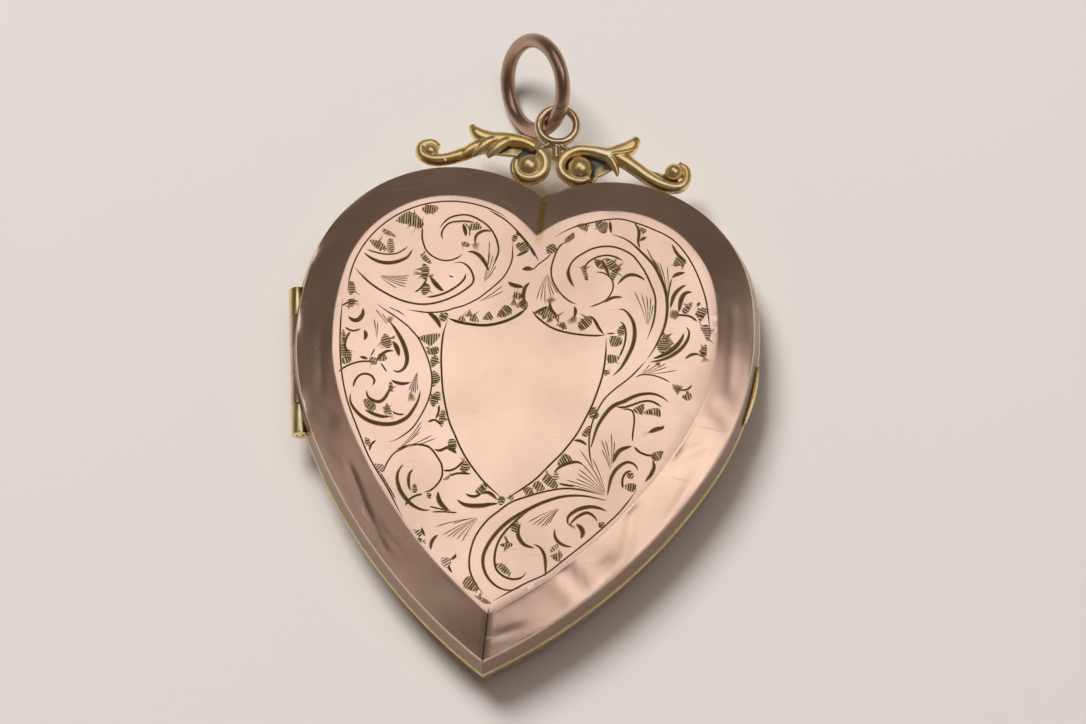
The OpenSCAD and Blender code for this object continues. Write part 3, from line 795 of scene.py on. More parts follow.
LOWER_RIGHT = [
    (0.06, 5.75, -5.46, 5.08, -5.35, 4.25, -5.25, 3.42, -5.28, 2.67, -5.46, 2, -5.7, 1.33, -6, 0.5,
    -6.42, -0.2, -7.08, -0.67, -7.58, -1.08, -8.25, -1.33, -8.92, -1.43, -9.75, -1.38, -10.42, -1.21,
    -10.92, -0.83, -11.5, -0.33, -12.04), (0.095, 5.88, -5.75, 5.08, -5.65, 4.5, -5.61, 3.83, -5.67,
    3.17, -5.83, 2.5, -6.13, 1.92, -6.46, 1.33, -6.88, 0.75, -7.33, 0.25, -7.83, -0.17, -8.42, -0.5,
    -9.08, -0.67, -9.75, -0.58, -10.42, -0.25, -11, 0.25, -11.42, 0.83, -11.6, 1.33, -11.5, 1.67,
    -11.29), (0.07, 1.58, -6.83, 1.17, -7.17, 0.75, -7.67, 0.33, -8.25, 0.04, -8.92, -0.04, -9.67, 0.08,
    -10.33, 0.42, -10.71, 0.92, -10.92, 1.42, -10.88, 1.71, -10.67, 1.83, -10.38), (0.1, 1.17, -7.58,
    1.08, -8.17, 1.25, -8.58, 1.58, -8.88, 2.13, -8.98), (0.08, 2, -8.75, 2.42, -8.92, 2.71, -9.33,
    2.85, -9.92, 2.92, -10.58), (0.09, 2.67, -4.42, 3, -4, 3.5, -3.71, 4, -3.63, 4.25, -3.79), (0.06, 3,
    -5, 3.42, -5.08, 4, -5.07), (0.07, 6.67, -4.96, 6.57, -4.5, 6.63, -4.13, 6.83, -3.88, 7.08, -3.83),
    (0.1, 5.92, -6.38, 5.5, -6.25, 5, -6.21, 4.42, -6.38, 3.96, -6.71, 3.75, -7.08, 3.88, -7.46), (0.08,
    3.9, -7.45, 4.13, -7.08, 4.42, -6.79, 4.83, -6.58, 5.25, -6.79, 5.46, -7.08), (0.12, 4.25, -7.29,
    4.54, -7.5, 4.71, -7.79, 4.63, -8.17), (0.08, 3.1, -7.71, 3.17, -8.17, 3.42, -8.5, 3.83, -8.67,
    4.21, -8.68),
]
# Fans of hair-thin cuts as (apex x, y, then the far ends x, y, ...).
FANS = [
    (-8.83, 6.62, -7, 6.8, -7.05, 6.62, -7.1, 6.45, -7.1, 6.25, -7.13, 6.05, -7.67, 5.92), (-2.72, 6.8,
    -2.7, 9.58, -2.6, 8.8, -2.38, 8.67, -2.13, 8.5, -2.1, 8, -2.25, 7.6), (-2.9, 5.55, -1.58, 6.75,
    -1.5, 6.42, -1.9, 6.4), (0.88, 7.83, 0.46, 6.04, 0.71, 6, 0.98, 5.83, 1.29, 6.3, 1.45, 6.4, 1.67,
    6.54), (7, 5.08, 6, 7.25, 6.46, 7.08, 6.75, 7.04, 7, 6.96, 7.2, 6.5), (7.95, 7.1, 6.4, 10.08, 6.9,
    9.4, 7.3, 9.2, 7.75, 9), (7.8, 7.5, 6.6, 9.7, 7.1, 9.25), (-6.9, 4.2, -8, 4.7, -7.6, 4.6), (-7.9,
    3.5, -8.75, 4.5, -8.3, 4.3), (-8.4, 2.6, -8.75, 3.9, -8.7, 3.75, -8.5, 3.7), (-5.79, 0.92, -6.13,
    -0.38, -6, -0.58, -5.88, -0.5, -5.75, -0.54, -5.63, -0.33), (-6.25, -3.96, -5.13, -2.08, -5.08,
    -2.38, -5.17, -2.75, -4.42, -2.88, -4.17, -3.04), (6.92, 2.08, 7.42, 2.79, 7.83, 2.83, 8.33, 2.92,
    8.42, 2.71, 9, 2.57), (5.83, -3.92, 5.1, -2.1, 5.35, -2.1, 5.63, -1.6, 5.88, -2.1, 5.2, -2.7),
    (-1.2, -7.5, -3.6, -8.35, -2.67, -8.08, -3.1, -8.8, -2.9, -8.95, -2.6, -8.9, -2.3, -9, -2, -9.1),
    (3.25, -6.45, 1.58, -7.5, 1.83, -7.67, 2.08, -7.7, 2.33, -7.75, 2.54, -7.67, 2.75, -7.5), (5.75,
    -5.4, 3, -5, 3.35, -4.75, 3.9, -4.6, 3.95, -4.3, 4, -4, 4.15, -3.65, 4.5, -3.5, 4.75, -3.3, 3.96,
    -2.83),
]
# Hatched patches as polygons x, y, x, y, ...
PATCHES = [
    (-9.67, 8.8, -9, 8.75, -8.6, 8.3, -9.2, 8.3), (-9, 9.6, -8.7, 9.55, -8.2, 9.25, -8.3, 9.15, -8.9,
    9.3), (-8.25, 10.35, -7.8, 10.8, -7.2, 10.75, -6.8, 10.4, -6.65, 10.1, -6.9, 9.85, -7.5, 10, -8.2,
    10.1), (-6.9, 11.1, -6.6, 11.4, -5.95, 11.35, -6.1, 10.95, -6.6, 10.85), (-6.6, 8.2, -6.3, 8.2,
    -5.9, 7.8, -6, 7.65, -6.4, 7.85), (-6.4, 7.55, -6.2, 7.6, -5.95, 7.3, -6, 6.7, -6.35, 6.75), (-6.2,
    6.4, -5.85, 6.35, -5.75, 6, -6, 5.65, -6.25, 5.85), (-3.95, 10.45, -3.4, 10.45, -3.3, 10.2, -3.9,
    10.05), (-4.3, 9.2, -4.1, 9.3, -3.8, 9.15, -3.9, 8.95, -4.25, 9), (-10.5, 6.05, -10.2, 6, -10.05,
    5.5, -10.3, 5.2, -10.45, 5.5), (-1.4, 10, -1.05, 10.1, -1.2, 9.6, -1.4, 9.6), (-1.15, 9.4, -0.8,
    9.6, -0.5, 9.6, -0.35, 9.1, -0.6, 8.9, -0.95, 9.1), (-0.9, 6.3, -0.45, 6.35, -0.4, 6.05, -0.9, 6),
    (-0.55, 5.8, -0.1, 5.95, 0, 5.5, -0.3, 5.4), (-3.95, 4.3, -3.7, 4.6, -3.45, 4.3), (-3.25, 4.35, -3,
    4.8, -2.7, 4.35), (-2.5, 4.5, -2.2, 5.05, -1.9, 4.6), (-1.7, 4.8, -1.35, 5.55, -0.85, 5.25, -1.2,
    4.8), (-0.65, 5.45, -0.4, 6, -0.15, 5.65), (2.75, 8.35, 3, 8.5, 3.3, 7.7, 3.1, 7.6, 2.95, 8), (3.5,
    8.95, 4, 8.9, 4.1, 8.4, 3.7, 8.5), (4.15, 9.1, 4.6, 9, 5.1, 8.5, 4.7, 8.3, 4.35, 8.5), (5.15, 8.55,
    4.95, 8.2, 4.75, 7.75, 4.5, 8.1, 4.7, 8.45), (3.3, 11.3, 4, 11.4, 4, 10.7, 3.6, 10.75), (2.25,
    11.05, 2.8, 11.2, 2.9, 10.7, 2.5, 10.8), (1.65, 10.1, 2.1, 10.55, 2.2, 10.2, 1.8, 9.85), (0.65, 9.5,
    1, 9.7, 1.3, 9.35, 1, 9.05, 0.7, 9.1), (8.1, 9.3, 8.4, 9.8, 8.85, 9.3, 8.2, 9), (5.85, 11.3, 6.35,
    11.15, 6.1, 10.9), (8.85, 6.3, 9.3, 6.85, 9.45, 6.75, 9.2, 6.1), (9.65, 6.2, 10, 6.6, 10.35, 6.4,
    10, 5.65, 9.85, 5.9), (10.05, 5.4, 10.5, 5.55, 10.7, 5, 10.5, 4.55, 10.3, 4.9), (10.2, 4.1, 10.5,
    4.3, 10.55, 3.6, 10.2, 3.55), (8, 4.8, 8.65, 4.15, 8, 4.4), (7.75, 4.3, 8.05, 4.5, 8.5, 4.05, 8.05,
    3.5, 7.7, 3.8), (5.3, 4.7, 5.5, 5, 5.8, 4.9, 5.7, 4.4, 5.4, 4.4), (4.95, 4.25, 5.6, 4.2, 5.6, 3.75,
    5.05, 3.65), (4.95, 3.1, 5.6, 3, 5.4, 2.65, 5, 2.6), (4.85, 2.15, 5.2, 2, 4.9, 1.75), (3, 4.9, 3.6,
    5.4, 3.8, 4.9, 3.25, 4.4), (1.8, 4.6, 2.2, 4.85, 2.4, 4.4), (0.5, 5.2, 1.2, 5.7, 1.9, 5), (-10.4,
    4.9, -10, 4.95, -10.05, 4.5, -10.3, 4.55), (-10.45, 3, -10.2, 2.7, -10.1, 2, -9.75, 1.7, -9.7, 1.3,
    -10.25, 1.4, -10.4, 2.2), (-10.2, 1.35, -9.75, 1.4, -9.7, 1.05, -10.15, 0.9), (-8.65, 1.5, -8.2,
    1.4, -8.2, 1.05, -8.55, 1.1), (-8.2, 1.7, -7.8, 1.75, -7.65, 1.4, -8.1, 1.3), (-8.15, 2.8, -7.9, 3,
    -7.6, 2.7, -7.5, 2.3, -7.75, 2.1, -8.1, 2.4), (-5, 4.6, -4.5, 4.65, -4.6, 4.2, -4.9, 4.15), (-6,
    3.03, -4.8, 3.35, -5.2, 2.55, -5.5, 2.65), (-5.4, 2.3, -4.85, 2.55, -4.8, 2.1, -5.3, 2), (-5.15,
    1.8, -4.85, 2, -4.7, 1.6, -5, 1.2), (-4.95, 1, -4.6, 0.85, -4.45, 0.45, -4.85, 0.05), (-4.9, -0.7,
    -4.5, -0.2, -4.35, -0.6, -4.6, -1.2), (-4.1, -1.3, -3.85, -1.6, -3.95, -2.35, -4.2, -2), (-7.3, 0.1,
    -7.1, -0.1, -7.05, -0.5, -7.3, -0.4), (-8.6, -1.1, -8.1, -1.2, -7.85, -1.6, -8.1, -1.85, -8.55,
    -1.5), (-7.3, -1.25, -7, -1.6, -6.95, -1.9, -7.4, -1.8), (-8.25, -3.45, -7.95, -3.55, -7.9, -3.9,
    -8.1, -3.9), (-3.5, -3.1, -3.1, -3.05, -3, -3.6, -3.4, -3.6), (9.4, 1, 9.9, 1.25, 9.95, 0.9, 9.7,
    0.75), (6.7, -0.1, 7.3, 0.3, 7.3, -0.35, 6.95, -0.3), (7.35, -0.3, 7.6, 0, 8.2, 0.1, 8.3, -0.4, 8,
    -0.35), (8.1, -2.6, 8.7, -2.45, 8.5, -3.05, 8.1, -2.95), (4.3, -0.35, 4.5, -0.2, 4.85, -0.7, 4.5,
    -0.95, 4.2, -0.6), (4.05, -1.7, 4.35, -1.35, 4.5, -1.7, 4.3, -2.05, 4, -2), (2.8, -3.9, 3.1, -3.2,
    3.6, -3.45, 3.3, -3.9), (-5.15, -5.95, -4.95, -6, -4.85, -6.4, -5.1, -6.45), (-4.3, -6.4, -4.05,
    -6.4, -4.05, -6.7, -4.25, -6.65), (-2.65, -4.75, -2.4, -4.25, -2.05, -4.65, -2.35, -4.95), (-3.5,
    -5.5, -3.1, -5.1, -3.2, -5.45), (-1.6, -6, -1.2, -5.45, -0.95, -5.75, -1.3, -6.15), (-4.85, -8.7,
    -4.4, -8.6, -4.25, -8.9, -4.5, -9.1), (-4.45, -9.2, -4.05, -9.15, -3.95, -9.5, -4.1, -9.6), (-0.3,
    -6.3, 0, -6.1, 0.15, -6.4, -0.1, -6.7), (0.3, -6.05, 0.55, -6, 0.6, -6.25, 0.35, -6.3), (1.05, -5.6,
    1.4, -5.4, 1.7, -5.75, 1.35, -5.9), (1.55, -5.3, 1.9, -5, 2.3, -5.4, 1.95, -5.6), (2.05, -4.9, 2.4,
    -4.5, 3, -5.1, 2.7, -5.35), (0.65, -7.8, 1, -7.5, 1.1, -8.1, 0.75, -8.15), (0.2, -8.95, 0.8, -8.8,
    0.85, -9.05, 0.3, -9.1), (0.1, -10.2, 0.5, -10.1, 1, -10.6, 0.6, -10.65), (6.8, -4, 7.15, -3.95,
    7.15, -4.3, 6.85, -4.25), (6.75, -4.7, 7.1, -4.55, 7.4, -4.65, 7.3, -5.05, 6.9, -5), (5.5, -7.1,
    5.85, -7.05, 5.75, -7.4, 5.55, -7.35), (3.1, -9.3, 3.6, -9.1, 3.75, -9.3, 3.4, -9.6), (-1.65, -11.4,
    -1.25, -11, -0.75, -11.5, -0.8, -11.85, -1.3, -11.8), (-0.9, -12.1, -0.3, -12.2, 0.1, -12.45, -0.3,
    -12.5),
]
# Bright patches, cut lightly
PALE_PATCHES = [
    (-8.6, 8.95, -8.3, 8.95, -8.15, 8.2, -8.55, 8.2), (-7.45, -5, -6.95, -5, -6.95, -5.45, -7.3, -5.4),
    (-3, -10.15, -2.5, -10.1, -2.45, -10.6, -2.8, -10.6), (2.6, -4.6, 2.8, -4.35, 3, -4.7, 2.75, -4.85),
    (3, -8.9, 3.35, -8.6, 3.45, -8.8, 3.1, -9.15),
]


LEAF_WIDTH = 0.075      # cuts at least this wide are leaves, which swell in the middle


def lobe_border():
    """The border line round the left lobe, which runs on into the notch line."""
    a0, a1 = math.radians(187), math.radians(60)
    return [polar((-LOBE[0], LOBE[1]), LOBE_R - 2.50, a0 + (a1 - a0) * i / 16) for i in range(17)]


def engrave(field):
    """Cuts every line, leaf, fan and hatched patch into the field."""
    for group in (BORDER, SHIELD):
        for width, *numbers in group:
            field.cut(pairs(numbers), width, line_swell, 0.85)
    field.cut(lobe_border(), 0.05, line_swell, 0.85)
    for group in (LEFT_LOBE, RIGHT_LOBE, MIDDLE_LEFT, MIDDLE_RIGHT, LOWER_LEFT, LOWER_RIGHT):
        for width, *numbers in group:
            points = pairs(numbers)
            if width >= LEAF_WIDTH:
                field.cut(points, width * 1.25, leaf_swell, 0.50)
            else:
                field.cut(points, width, line_swell, 0.75)
    for apex_x, apex_y, *ends in FANS:
        for x, y in pairs(ends):
            start = (apex_x + (x - apex_x) * 0.04, apex_y + (y - apex_y) * 0.04)
            mid = ((start[0] + x) / 2 + (y - start[1]) * 0.03, (start[1] + y) / 2 - (x - start[0]) * 0.03)
            field.cut([(x, y), mid, start], 0.036, tail_swell, 0.8)
    for seed, numbers in enumerate(PATCHES):
        hatch(field, numbers, seed)
    for seed, numbers in enumerate(PALE_PATCHES):
        hatch(field, numbers, 500 + seed, tone=0.4)


# ---------------------------------------------------------------- front and back covers
# Creases and dents of the worn bevel as (x0, y0, x1, y1, half-width, depth)
DENTS = [
    (7.4, -6.2, 7.1, -9.0, 0.26, 0.05), (4.0, -10.1, 5.1, -11.1, 0.32, 0.05), (6.2, -9.3, 6.6, -10.0,
    0.22, 0.04), (-8.9, -5.2, -7.6, -7.67, 0.16, 0.045), (-7.6, -7.67, -6.3, -9.8, 0.18, 0.045), (-6.75,
    -8.25, -6.3, -9.2, 0.14, 0.03), (-5.9, -9.3, -5.7, -9.5, 0.1, 0.04), (-10.6, -4.4, -9.4, -5.2, 0.25,
    0.025), (11.9, 6.5, 12.1, 2.0, 0.3, 0.022), (-11.7, 3.0, -11.2, -0.5, 0.22, 0.022), (-9.0, 12.4,
    -5.5, 13.4, 0.3, 0.022), (7.0, 13.0, 9.8, 11.4, 0.3, 0.02), (0.6, -14.2, 1.8, -13.6, 0.22, 0.03),
    (10.4, -4.0, 9.6, -6.4, 0.35, 0.035), (-2.5, 12.1, -1.6, 11.7, 0.1, 0.02), (10.9, -1.8, 9.7, -2.6,
    0.3, 0.04), (-12.7, 7.6, -10.9, 9.3, 0.5, 0.045), (-13.2, 3.4, -11.6, 2.4, 0.45, 0.045), (-12.1,
    -1.4, -10.4, -2.5, 0.4, 0.04), (-10.6, -5.6, -9.6, -6.6, 0.3, 0.04), (3.2, 13.3, 4.4, 11.9, 0.28,
    0.03), (12.4, -0.4, 11.2, 0.6, 0.35, 0.035),
]


def dent_drop(x, y):
    """How far the worn metal has sunk at a point."""
    drop = 0.0
    for x0, y0, x1, y1, wide, deep in DENTS:
        dx, dy = x1 - x0, y1 - y0
        u = max(0.0, min(1.0, ((x - x0) * dx + (y - y0) * dy) / (dx * dx + dy * dy)))
        away = math.hypot(x - x0 - dx * u, y - y0 - dy * u)
        drop += deep * math.exp(-(away / wide) ** 2)
    return drop


def wavy(x, y, size, height, seed=0.0):
    """Gentle ripple of a hand-finished surface."""
    return height * noise.noise(Vector((x / size, y / size, seed)))


def front_bevel_levels():
    """(offset, z) of the outside of the front half above its wall, from the wall to the field."""
    levels = [(0.1375, 3.20), (0.055, 3.50), (0.012, 3.655), (0.0, 3.69), (-0.022, 3.716),
              (-0.055, 3.728)]
    levels += [(-0.055 - 1.925 * k / 14, 3.728 + 0.494 * k / 14) for k in range(1, 15)]
    return levels + [(-2.02, 4.231), (-2.06, 4.240), (-2.11, 4.247), (FIELD_OFF, FIELD_Z)]


def field_relief(x, y):
    """Slight unevenness of the hand-worked field."""
    fade = min(1.0, max(0.0, (FIELD_OFF - heart_offset(x, y)) / 0.8))
    return fade * (wavy(x, y, 4.2, 0.016, 2.0) + wavy(x, y, 1.7, 0.004, 5.0) - 0.004)


def front_top(verts, faces, tones):
    """Adds the worn bevel, the shoulder and the engraved field to the lists."""
    levels = front_bevel_levels()
    for k, (off, z) in enumerate(levels):
        worn = min(1.0, max(0.0, (k - 4) / 3)) * min(1.0, (len(levels) - 1 - k) / 5)
        for x, y in heart(off):
            sink = dent_drop(x, y) + wavy(x, y, 2.6, 0.030) + wavy(x, y, 1.1, 0.006, 3.0)
            verts.append((x, y, z - worn * max(0.0, sink + 0.01)))
            tones.append(0.0)
    faces += bands(len(heart(0)), len(levels))
    field = Engraving(heart(FIELD_OFF))
    grid_points(field)
    engrave(field)
    flat, depth, tone, triangles = field.mesh()
    base = len(verts)
    for (x, y), d, t in zip(flat, depth, tone):
        verts.append((x, y, FIELD_Z - d + field_relief(x, y)))
        tones.append(t)
    faces += [tuple(base + i for i in f) for f in triangles]


def grid_points(field, pitch=0.7):
    """Loose points that let the field follow its own unevenness."""
    y = -12.5
    while y < 12.5:
        x = -11.0
        while x < 11.0:
            if heart_offset(x, y) < FIELD_OFF - 0.35:
                field.points.append((x + 0.2 * math.sin(5 * y), y + 0.2 * math.sin(7 * x)))
            x += pitch
        y += pitch


def lining(verts, faces, levels):
    """Adds the smooth inside of a cover, closed by a flat face at its last level."""
    base = len(verts)
    for off, z in levels:
        verts += ring_at(off, z)
    n = len(heart(0))
    faces += bands(n, len(levels), base) + [cap(n, len(levels) - 1, base)]


def open_ends(piece, test):
    """Removes the faces whose centre passes the test."""
    with edited(piece.data) as work:
        gone = [f for f in work.faces if test(f.calc_center_median())]
        bmesh.ops.delete(work, geom=gone, context="FACES")


def front_cover(surface):
    """Engraved front half: wall with hinge pockets, bevel and field, and a smooth inside."""
    wall = band_object("front_cover_engraved",
                       [(0.33, 2.50), (0.1375, 3.20), (-0.1625, 3.20), (0.03, 2.50)])
    carve(wall, hinge_cutter(1))
    open_ends(wall, lambda c: c.z > 3.1999)
    verts, faces, tones = [], [], []
    front_top(verts, faces, tones)
    lining(verts, faces, [(-0.1625, 3.20), (-0.30, 3.44), (-2.16, 3.95)])
    tones += [0.0] * (len(verts) - len(tones))
    top = new_object("front_top", verts, faces)
    top.data.attributes.new("cut", "FLOAT", "POINT").data.foreach_set("value", tones)
    join(wall, top)
    finish_piece(wall, surface, "case_front", "front_cover", 17)
    crisp_cuts(wall.data)


def crisp_cuts(mesh):
    """Marks the rim of every cut as a sharp edge, so that the flat metal beside it stays flat."""
    tones = np.zeros(len(mesh.vertices))
    mesh.attributes["cut"].data.foreach_get("value", tones)
    with edited(mesh) as work:
        marked = {f.index: any(tones[v.index] > 1e-4 for v in f.verts) for f in work.faces}
        for edge in work.edges:
            sides = [marked[f.index] for f in edge.link_faces]
            if len(sides) == 2 and sides[0] != sides[1]:
                edge.smooth = False


def join(first, *others):
    """Joins objects into the first one."""
    with bpy.context.temp_override(active_object=first, selected_editable_objects=[first, *others],
                                   object=first, selected_objects=[first, *others]):
        bpy.ops.object.join()


def back_cover(surface):
    """Plain back half: wall, rounded edge, shallow bevel and a flat face to lie on."""
    wall = band_object("back_cover_plain",
                       [(0.38, 2.10), (0.2433, 1.17), (-0.0567, 1.17), (0.08, 2.10)])
    carve(wall, hinge_cutter(0))
    open_ends(wall, lambda c: c.z < 1.1701)
    levels = [(0.2433, 1.17), (0.172, 0.68), (0.150, 0.615), (0.10, 0.585), (0.04, 0.565)]
    levels += [(0.04 - 1.93 * k / 10, 0.565 - 0.515 * k / 10) for k in range(1, 11)]
    levels += [(-2.02, 0.018), (-2.19, 0.0)]
    verts, faces = [], []
    for k, (off, z) in enumerate(levels):
        worn = min(1.0, max(0.0, (k - 3) / 3)) * min(1.0, max(0, len(levels) - 3 - k) / 3)
        for x, y in heart(off):
            verts.append((x, y, z + worn * max(0.0, wavy(x, y, 2.4, 0.03, 8.0) + 0.008)))
    n = len(heart(0))
    faces += bands(n, len(levels)) + [cap(n, len(levels) - 1)]
    lining(verts, faces, [(-0.0567, 1.17), (-0.14, 0.80), (-2.04, 0.30)])
    join(wall, new_object("back_plate", verts, faces))
    finish_piece(wall, surface, "case_back", "back_cover", 24)


# ---------------------------------------------------------------- rims, frames, windows, cards
def bead(z0, z1):
    """Rounded outer edge of a flange from z0 to z1."""
    s, out = (z1 - z0) / 6, BEAD_OUT
    return [(out - 0.06, z0), (out - 0.02, z0 + s), (out, z0 + 2 * s), (out, z1 - 2 * s),
            (out - 0.02, z1 - s), (out - 0.06, z1)]


def rims(surface):
    """Gilt rims: flange, inner band and picture seat; the back one also has the snap lip."""
    z0, z1 = SEAM + PART_GAP, SEAM + PART_GAP + FLANGE
    front = band_object("front_rim_bead", bead(z0, z1) + [
        (-0.45, z1), (-0.45, z0 + 1.10), (-1.60, z0 + 1.10), (-1.60, z0 + 0.98),
        (-0.70, z0 + 0.98), (-0.70, z0)])
    carve(front, hinge_cutter(1))
    finish_piece(front, surface, "case_front", "front_rim", 28)
    z1, z0 = SEAM - PART_GAP, SEAM - PART_GAP - FLANGE
    back = band_object("back_rim_bead", bead(z0, z1) + [
        (-0.78, z1), (-0.78, z1 + 0.26), (-0.81, z1 + 0.28), (-0.97, z1 + 0.28), (-1.00, z1 + 0.26),
        (-1.00, z1 - 0.98), (-1.80, z1 - 0.98), (-1.80, z1 - 1.10), (-0.78, z1 - 1.10), (-0.78, z0)])
    carve(back, hinge_cutter(0), lip_cutter())
    finish_piece(back, surface, "case_back", "back_rim", 28)


def lip_cutter():
    """Block that stops the snap lip short of the hinge."""
    xs, ys, zs = (-1, 2.2), (-0.78, -PART_GAP), (-BARREL_LEN / 2 - 1.2, BARREL_LEN / 2 + 1.2)
    corners = [(x, y, z) for x in xs for y in ys for z in zs]
    faces = [(0, 1, 3, 2), (4, 6, 7, 5), (0, 4, 5, 1), (2, 3, 7, 6), (0, 2, 6, 4), (1, 5, 7, 3)]
    return solid_object("lip_cutter", placed(corners, on_hinge()), faces)


def flipped(section):
    """The same section on the other side of the seam."""
    return [(off, 2 * SEAM - z) for off, z in section]


def frame_section(outer):
    """Rolled picture frame: rounded crown towards the viewer of the open locket."""
    z = SEAM + 0.34
    inner = -outer - 0.75
    return [(-outer - 0.03, z + 0.02), (-outer, z + 0.06), (-outer, z + 0.27),
            (-outer - 0.02, z + 0.29), (inner, z + 0.29), (inner, z + 0.13), (inner + 0.08, z + 0.06),
            (inner + 0.20, z + 0.015), (inner + 0.38, z), (-outer - 0.12, z)]


def inserts(surface, window, card):
    """Picture frame, clear window and card of each half."""
    for side, body, outer in (("front", "case_front", 0.73), ("back", "case_back", 1.03)):
        back = side == "back"
        section = frame_section(outer)
        verts, faces = heart_loop(flipped(section) if back else section)
        mesh_piece(f"{side}_frame_rolled", verts, faces, surface, body, f"{side}_frame", 30)
        for part, z, thick, finish in (("window", 0.65, 0.18, window), ("card", 0.85, 0.11, card)):
            z0, z1 = SEAM + z, SEAM + z + thick
            if back:
                z0, z1 = 2 * SEAM - z1, 2 * SEAM - z0
            verts, faces = heart_slab(-outer, z0, z1)
            mesh_piece(f"{side}_{part}_sheet", verts, faces, finish, body, f"{side}_{part}", 30)


# ---------------------------------------------------------------- hinge and thumb lip
def knuckle_profile(i):
    """Bored knuckle i, counted from the bottom, with eased edges."""
    step = BARREL_LEN / 5
    low = -BARREL_LEN / 2 + i * step + KNUCKLE_GAP / 2
    high = low + step - KNUCKLE_GAP
    e = 0.035
    return [(BORE_R, low + 0.01), (BORE_R + 0.01, low), (BARREL_R - e, low),
            (BARREL_R - 0.008, low + e * 0.6), (BARREL_R, low + e * 1.6), (BARREL_R, high - e * 1.6),
            (BARREL_R - 0.008, high - e * 0.6), (BARREL_R - e, high), (BORE_R + 0.01, high),
            (BORE_R, high - 0.01)]


def hinge(rose, gilt):
    """Five knuckles, alternately on the two halves, and a pin with domed ends."""
    names = ("back_knuckle_bottom", "front_knuckle_lower", "back_knuckle_middle",
             "front_knuckle_upper", "back_knuckle_top")
    for i, name in enumerate(names):
        verts, faces = lathe(knuckle_profile(i), 64)
        outer = i in (0, 4)
        mesh_piece(name + "_turned", placed(verts, on_hinge()), faces, gilt if outer else rose,
                   "case_front" if i % 2 else "case_back", name, 40)
    h = BARREL_LEN / 2
    dome = [(0.02, h), (0.12, h - 0.008), (0.19, h - 0.035), (PIN_R, h - 0.08)]
    profile = [(r, -z) for r, z in dome] + dome[::-1]
    verts, faces = lathe(profile, 32, closed=False)
    mesh_piece("hinge_pin_domed", placed(verts, on_hinge()), faces, gilt,
               "case_back", "hinge_pin", 40)


def thumb_lip(surface):
    """Crescent for a thumbnail on the right flank, with eased edges."""
    low, high, reach, steps = math.radians(-14), math.radians(-1), 0.10, 40
    z0 = SEAM + PART_GAP
    verts = []
    for i in range(steps + 1):
        u = i / steps
        a = low + (high - low) * u
        tip = BEAD_OUT + 0.04 + reach * math.sin(math.pi * u)
        e = 0.4 * (tip - BEAD_OUT)
        section = [(BEAD_OUT, z0), (tip - e, z0), (tip, z0 + 0.07), (tip, z0 + 0.20),
                   (tip - e, z0 + 0.29), (BEAD_OUT, z0 + 0.30)]
        verts += [(*polar(FLANK_C, FLANK_R + off, a), z) for off, z in section]
    m = len(section)
    faces = bands(m, steps + 1) + [cap(m, 0), cap(m, steps)]
    mesh_piece("thumb_lip_crescent", verts, faces, surface, "case_front", "thumb_lip", 40)


# ---------------------------------------------------------------- castings
def sweep(path, section):
    """Tube along [x, y, z, half-width, half-height] points; section lists unit (across, up) points."""
    verts, n, m = [], len(path), len(section)
    for i, (x, y, z, w, h) in enumerate(path):
        a, b = path[max(i - 1, 0)], path[min(i + 1, n - 1)]
        turn = math.atan2(b[1] - a[1], b[0] - a[0])
        for s, t in section:
            verts.append((x - s * w * math.sin(turn), y + s * w * math.cos(turn), z + t * h))
    return verts, bands(m, n) + [cap(m, 0), cap(m, n - 1)]


OVAL = [(math.cos(2 * math.pi * k / 20), math.sin(2 * math.pi * k / 20)) for k in range(20)]
# Ribbon with a rounded ridge along it and thin sides
RIDGED = [(-1, -0.8), (-1, 0.25), (-0.92, 0.55), (-0.7, 0.78), (-0.4, 0.96), (0, 1), (0.4, 0.96),
          (0.7, 0.78), (0.92, 0.55), (1, 0.25), (1, -0.8), (0.7, -1), (-0.7, -1)]
TALLEST = 0.40      # half the height of the thickest arm of a casting


def spiral(c, r0, r1, a0, a1, w0, w1, steps):
    """Control points [x, y, half-width] of a volute."""
    return [(*polar(c, r0 + (r1 - r0) * i / steps, math.radians(a0 + (a1 - a0) * i / steps)),
             w0 + (w1 - w0) * i / steps) for i in range(steps + 1)]


def arm(points, section=OVAL, rise=1.15, z=SCROLL_Z):
    """Limb of a casting along [x, y, half-width] points; rise is its height over its width."""
    path = smooth_path(points, 0.08)
    return sweep([(x, y, z, w, min(w * rise, TALLEST)) for x, y, w in path], section)


def ball(c, r, z=SCROLL_Z, squash=1.0, count=20):
    """Bead at height z, flattened by squash."""
    verts = [(c[0], c[1], z - r * squash)]
    for j in range(1, count // 2):
        a = math.pi * j / (count // 2)
        for k in range(count):
            b = 2 * math.pi * k / count
            verts.append((c[0] + r * math.sin(a) * math.cos(b), c[1] + r * math.sin(a) * math.sin(b),
                          z - r * squash * math.cos(a)))
    verts.append((c[0], c[1], z + r * squash))
    top, last = len(verts) - 1, len(verts) - 1 - count
    faces = [(0, 1 + (k + 1) % count, 1 + k) for k in range(count)] + bands(count, count // 2 - 1, 1)
    return verts, faces + [(top, last + k, last + (k + 1) % count) for k in range(count)]


def plate(points, z0, z1):
    """Flat web of a casting behind its raised work."""
    verts = [(x, y, z) for z in (z0, z1) for x, y in points]
    n = len(points)
    return verts, [cap(n, 0)[::-1], cap(n, 1)] + strip(n, 0, 1)


def disc(c, r, z0, z1, count=40):
    return plate([polar(c, r, 2 * math.pi * k / count) for k in range(count)], z0, z1)


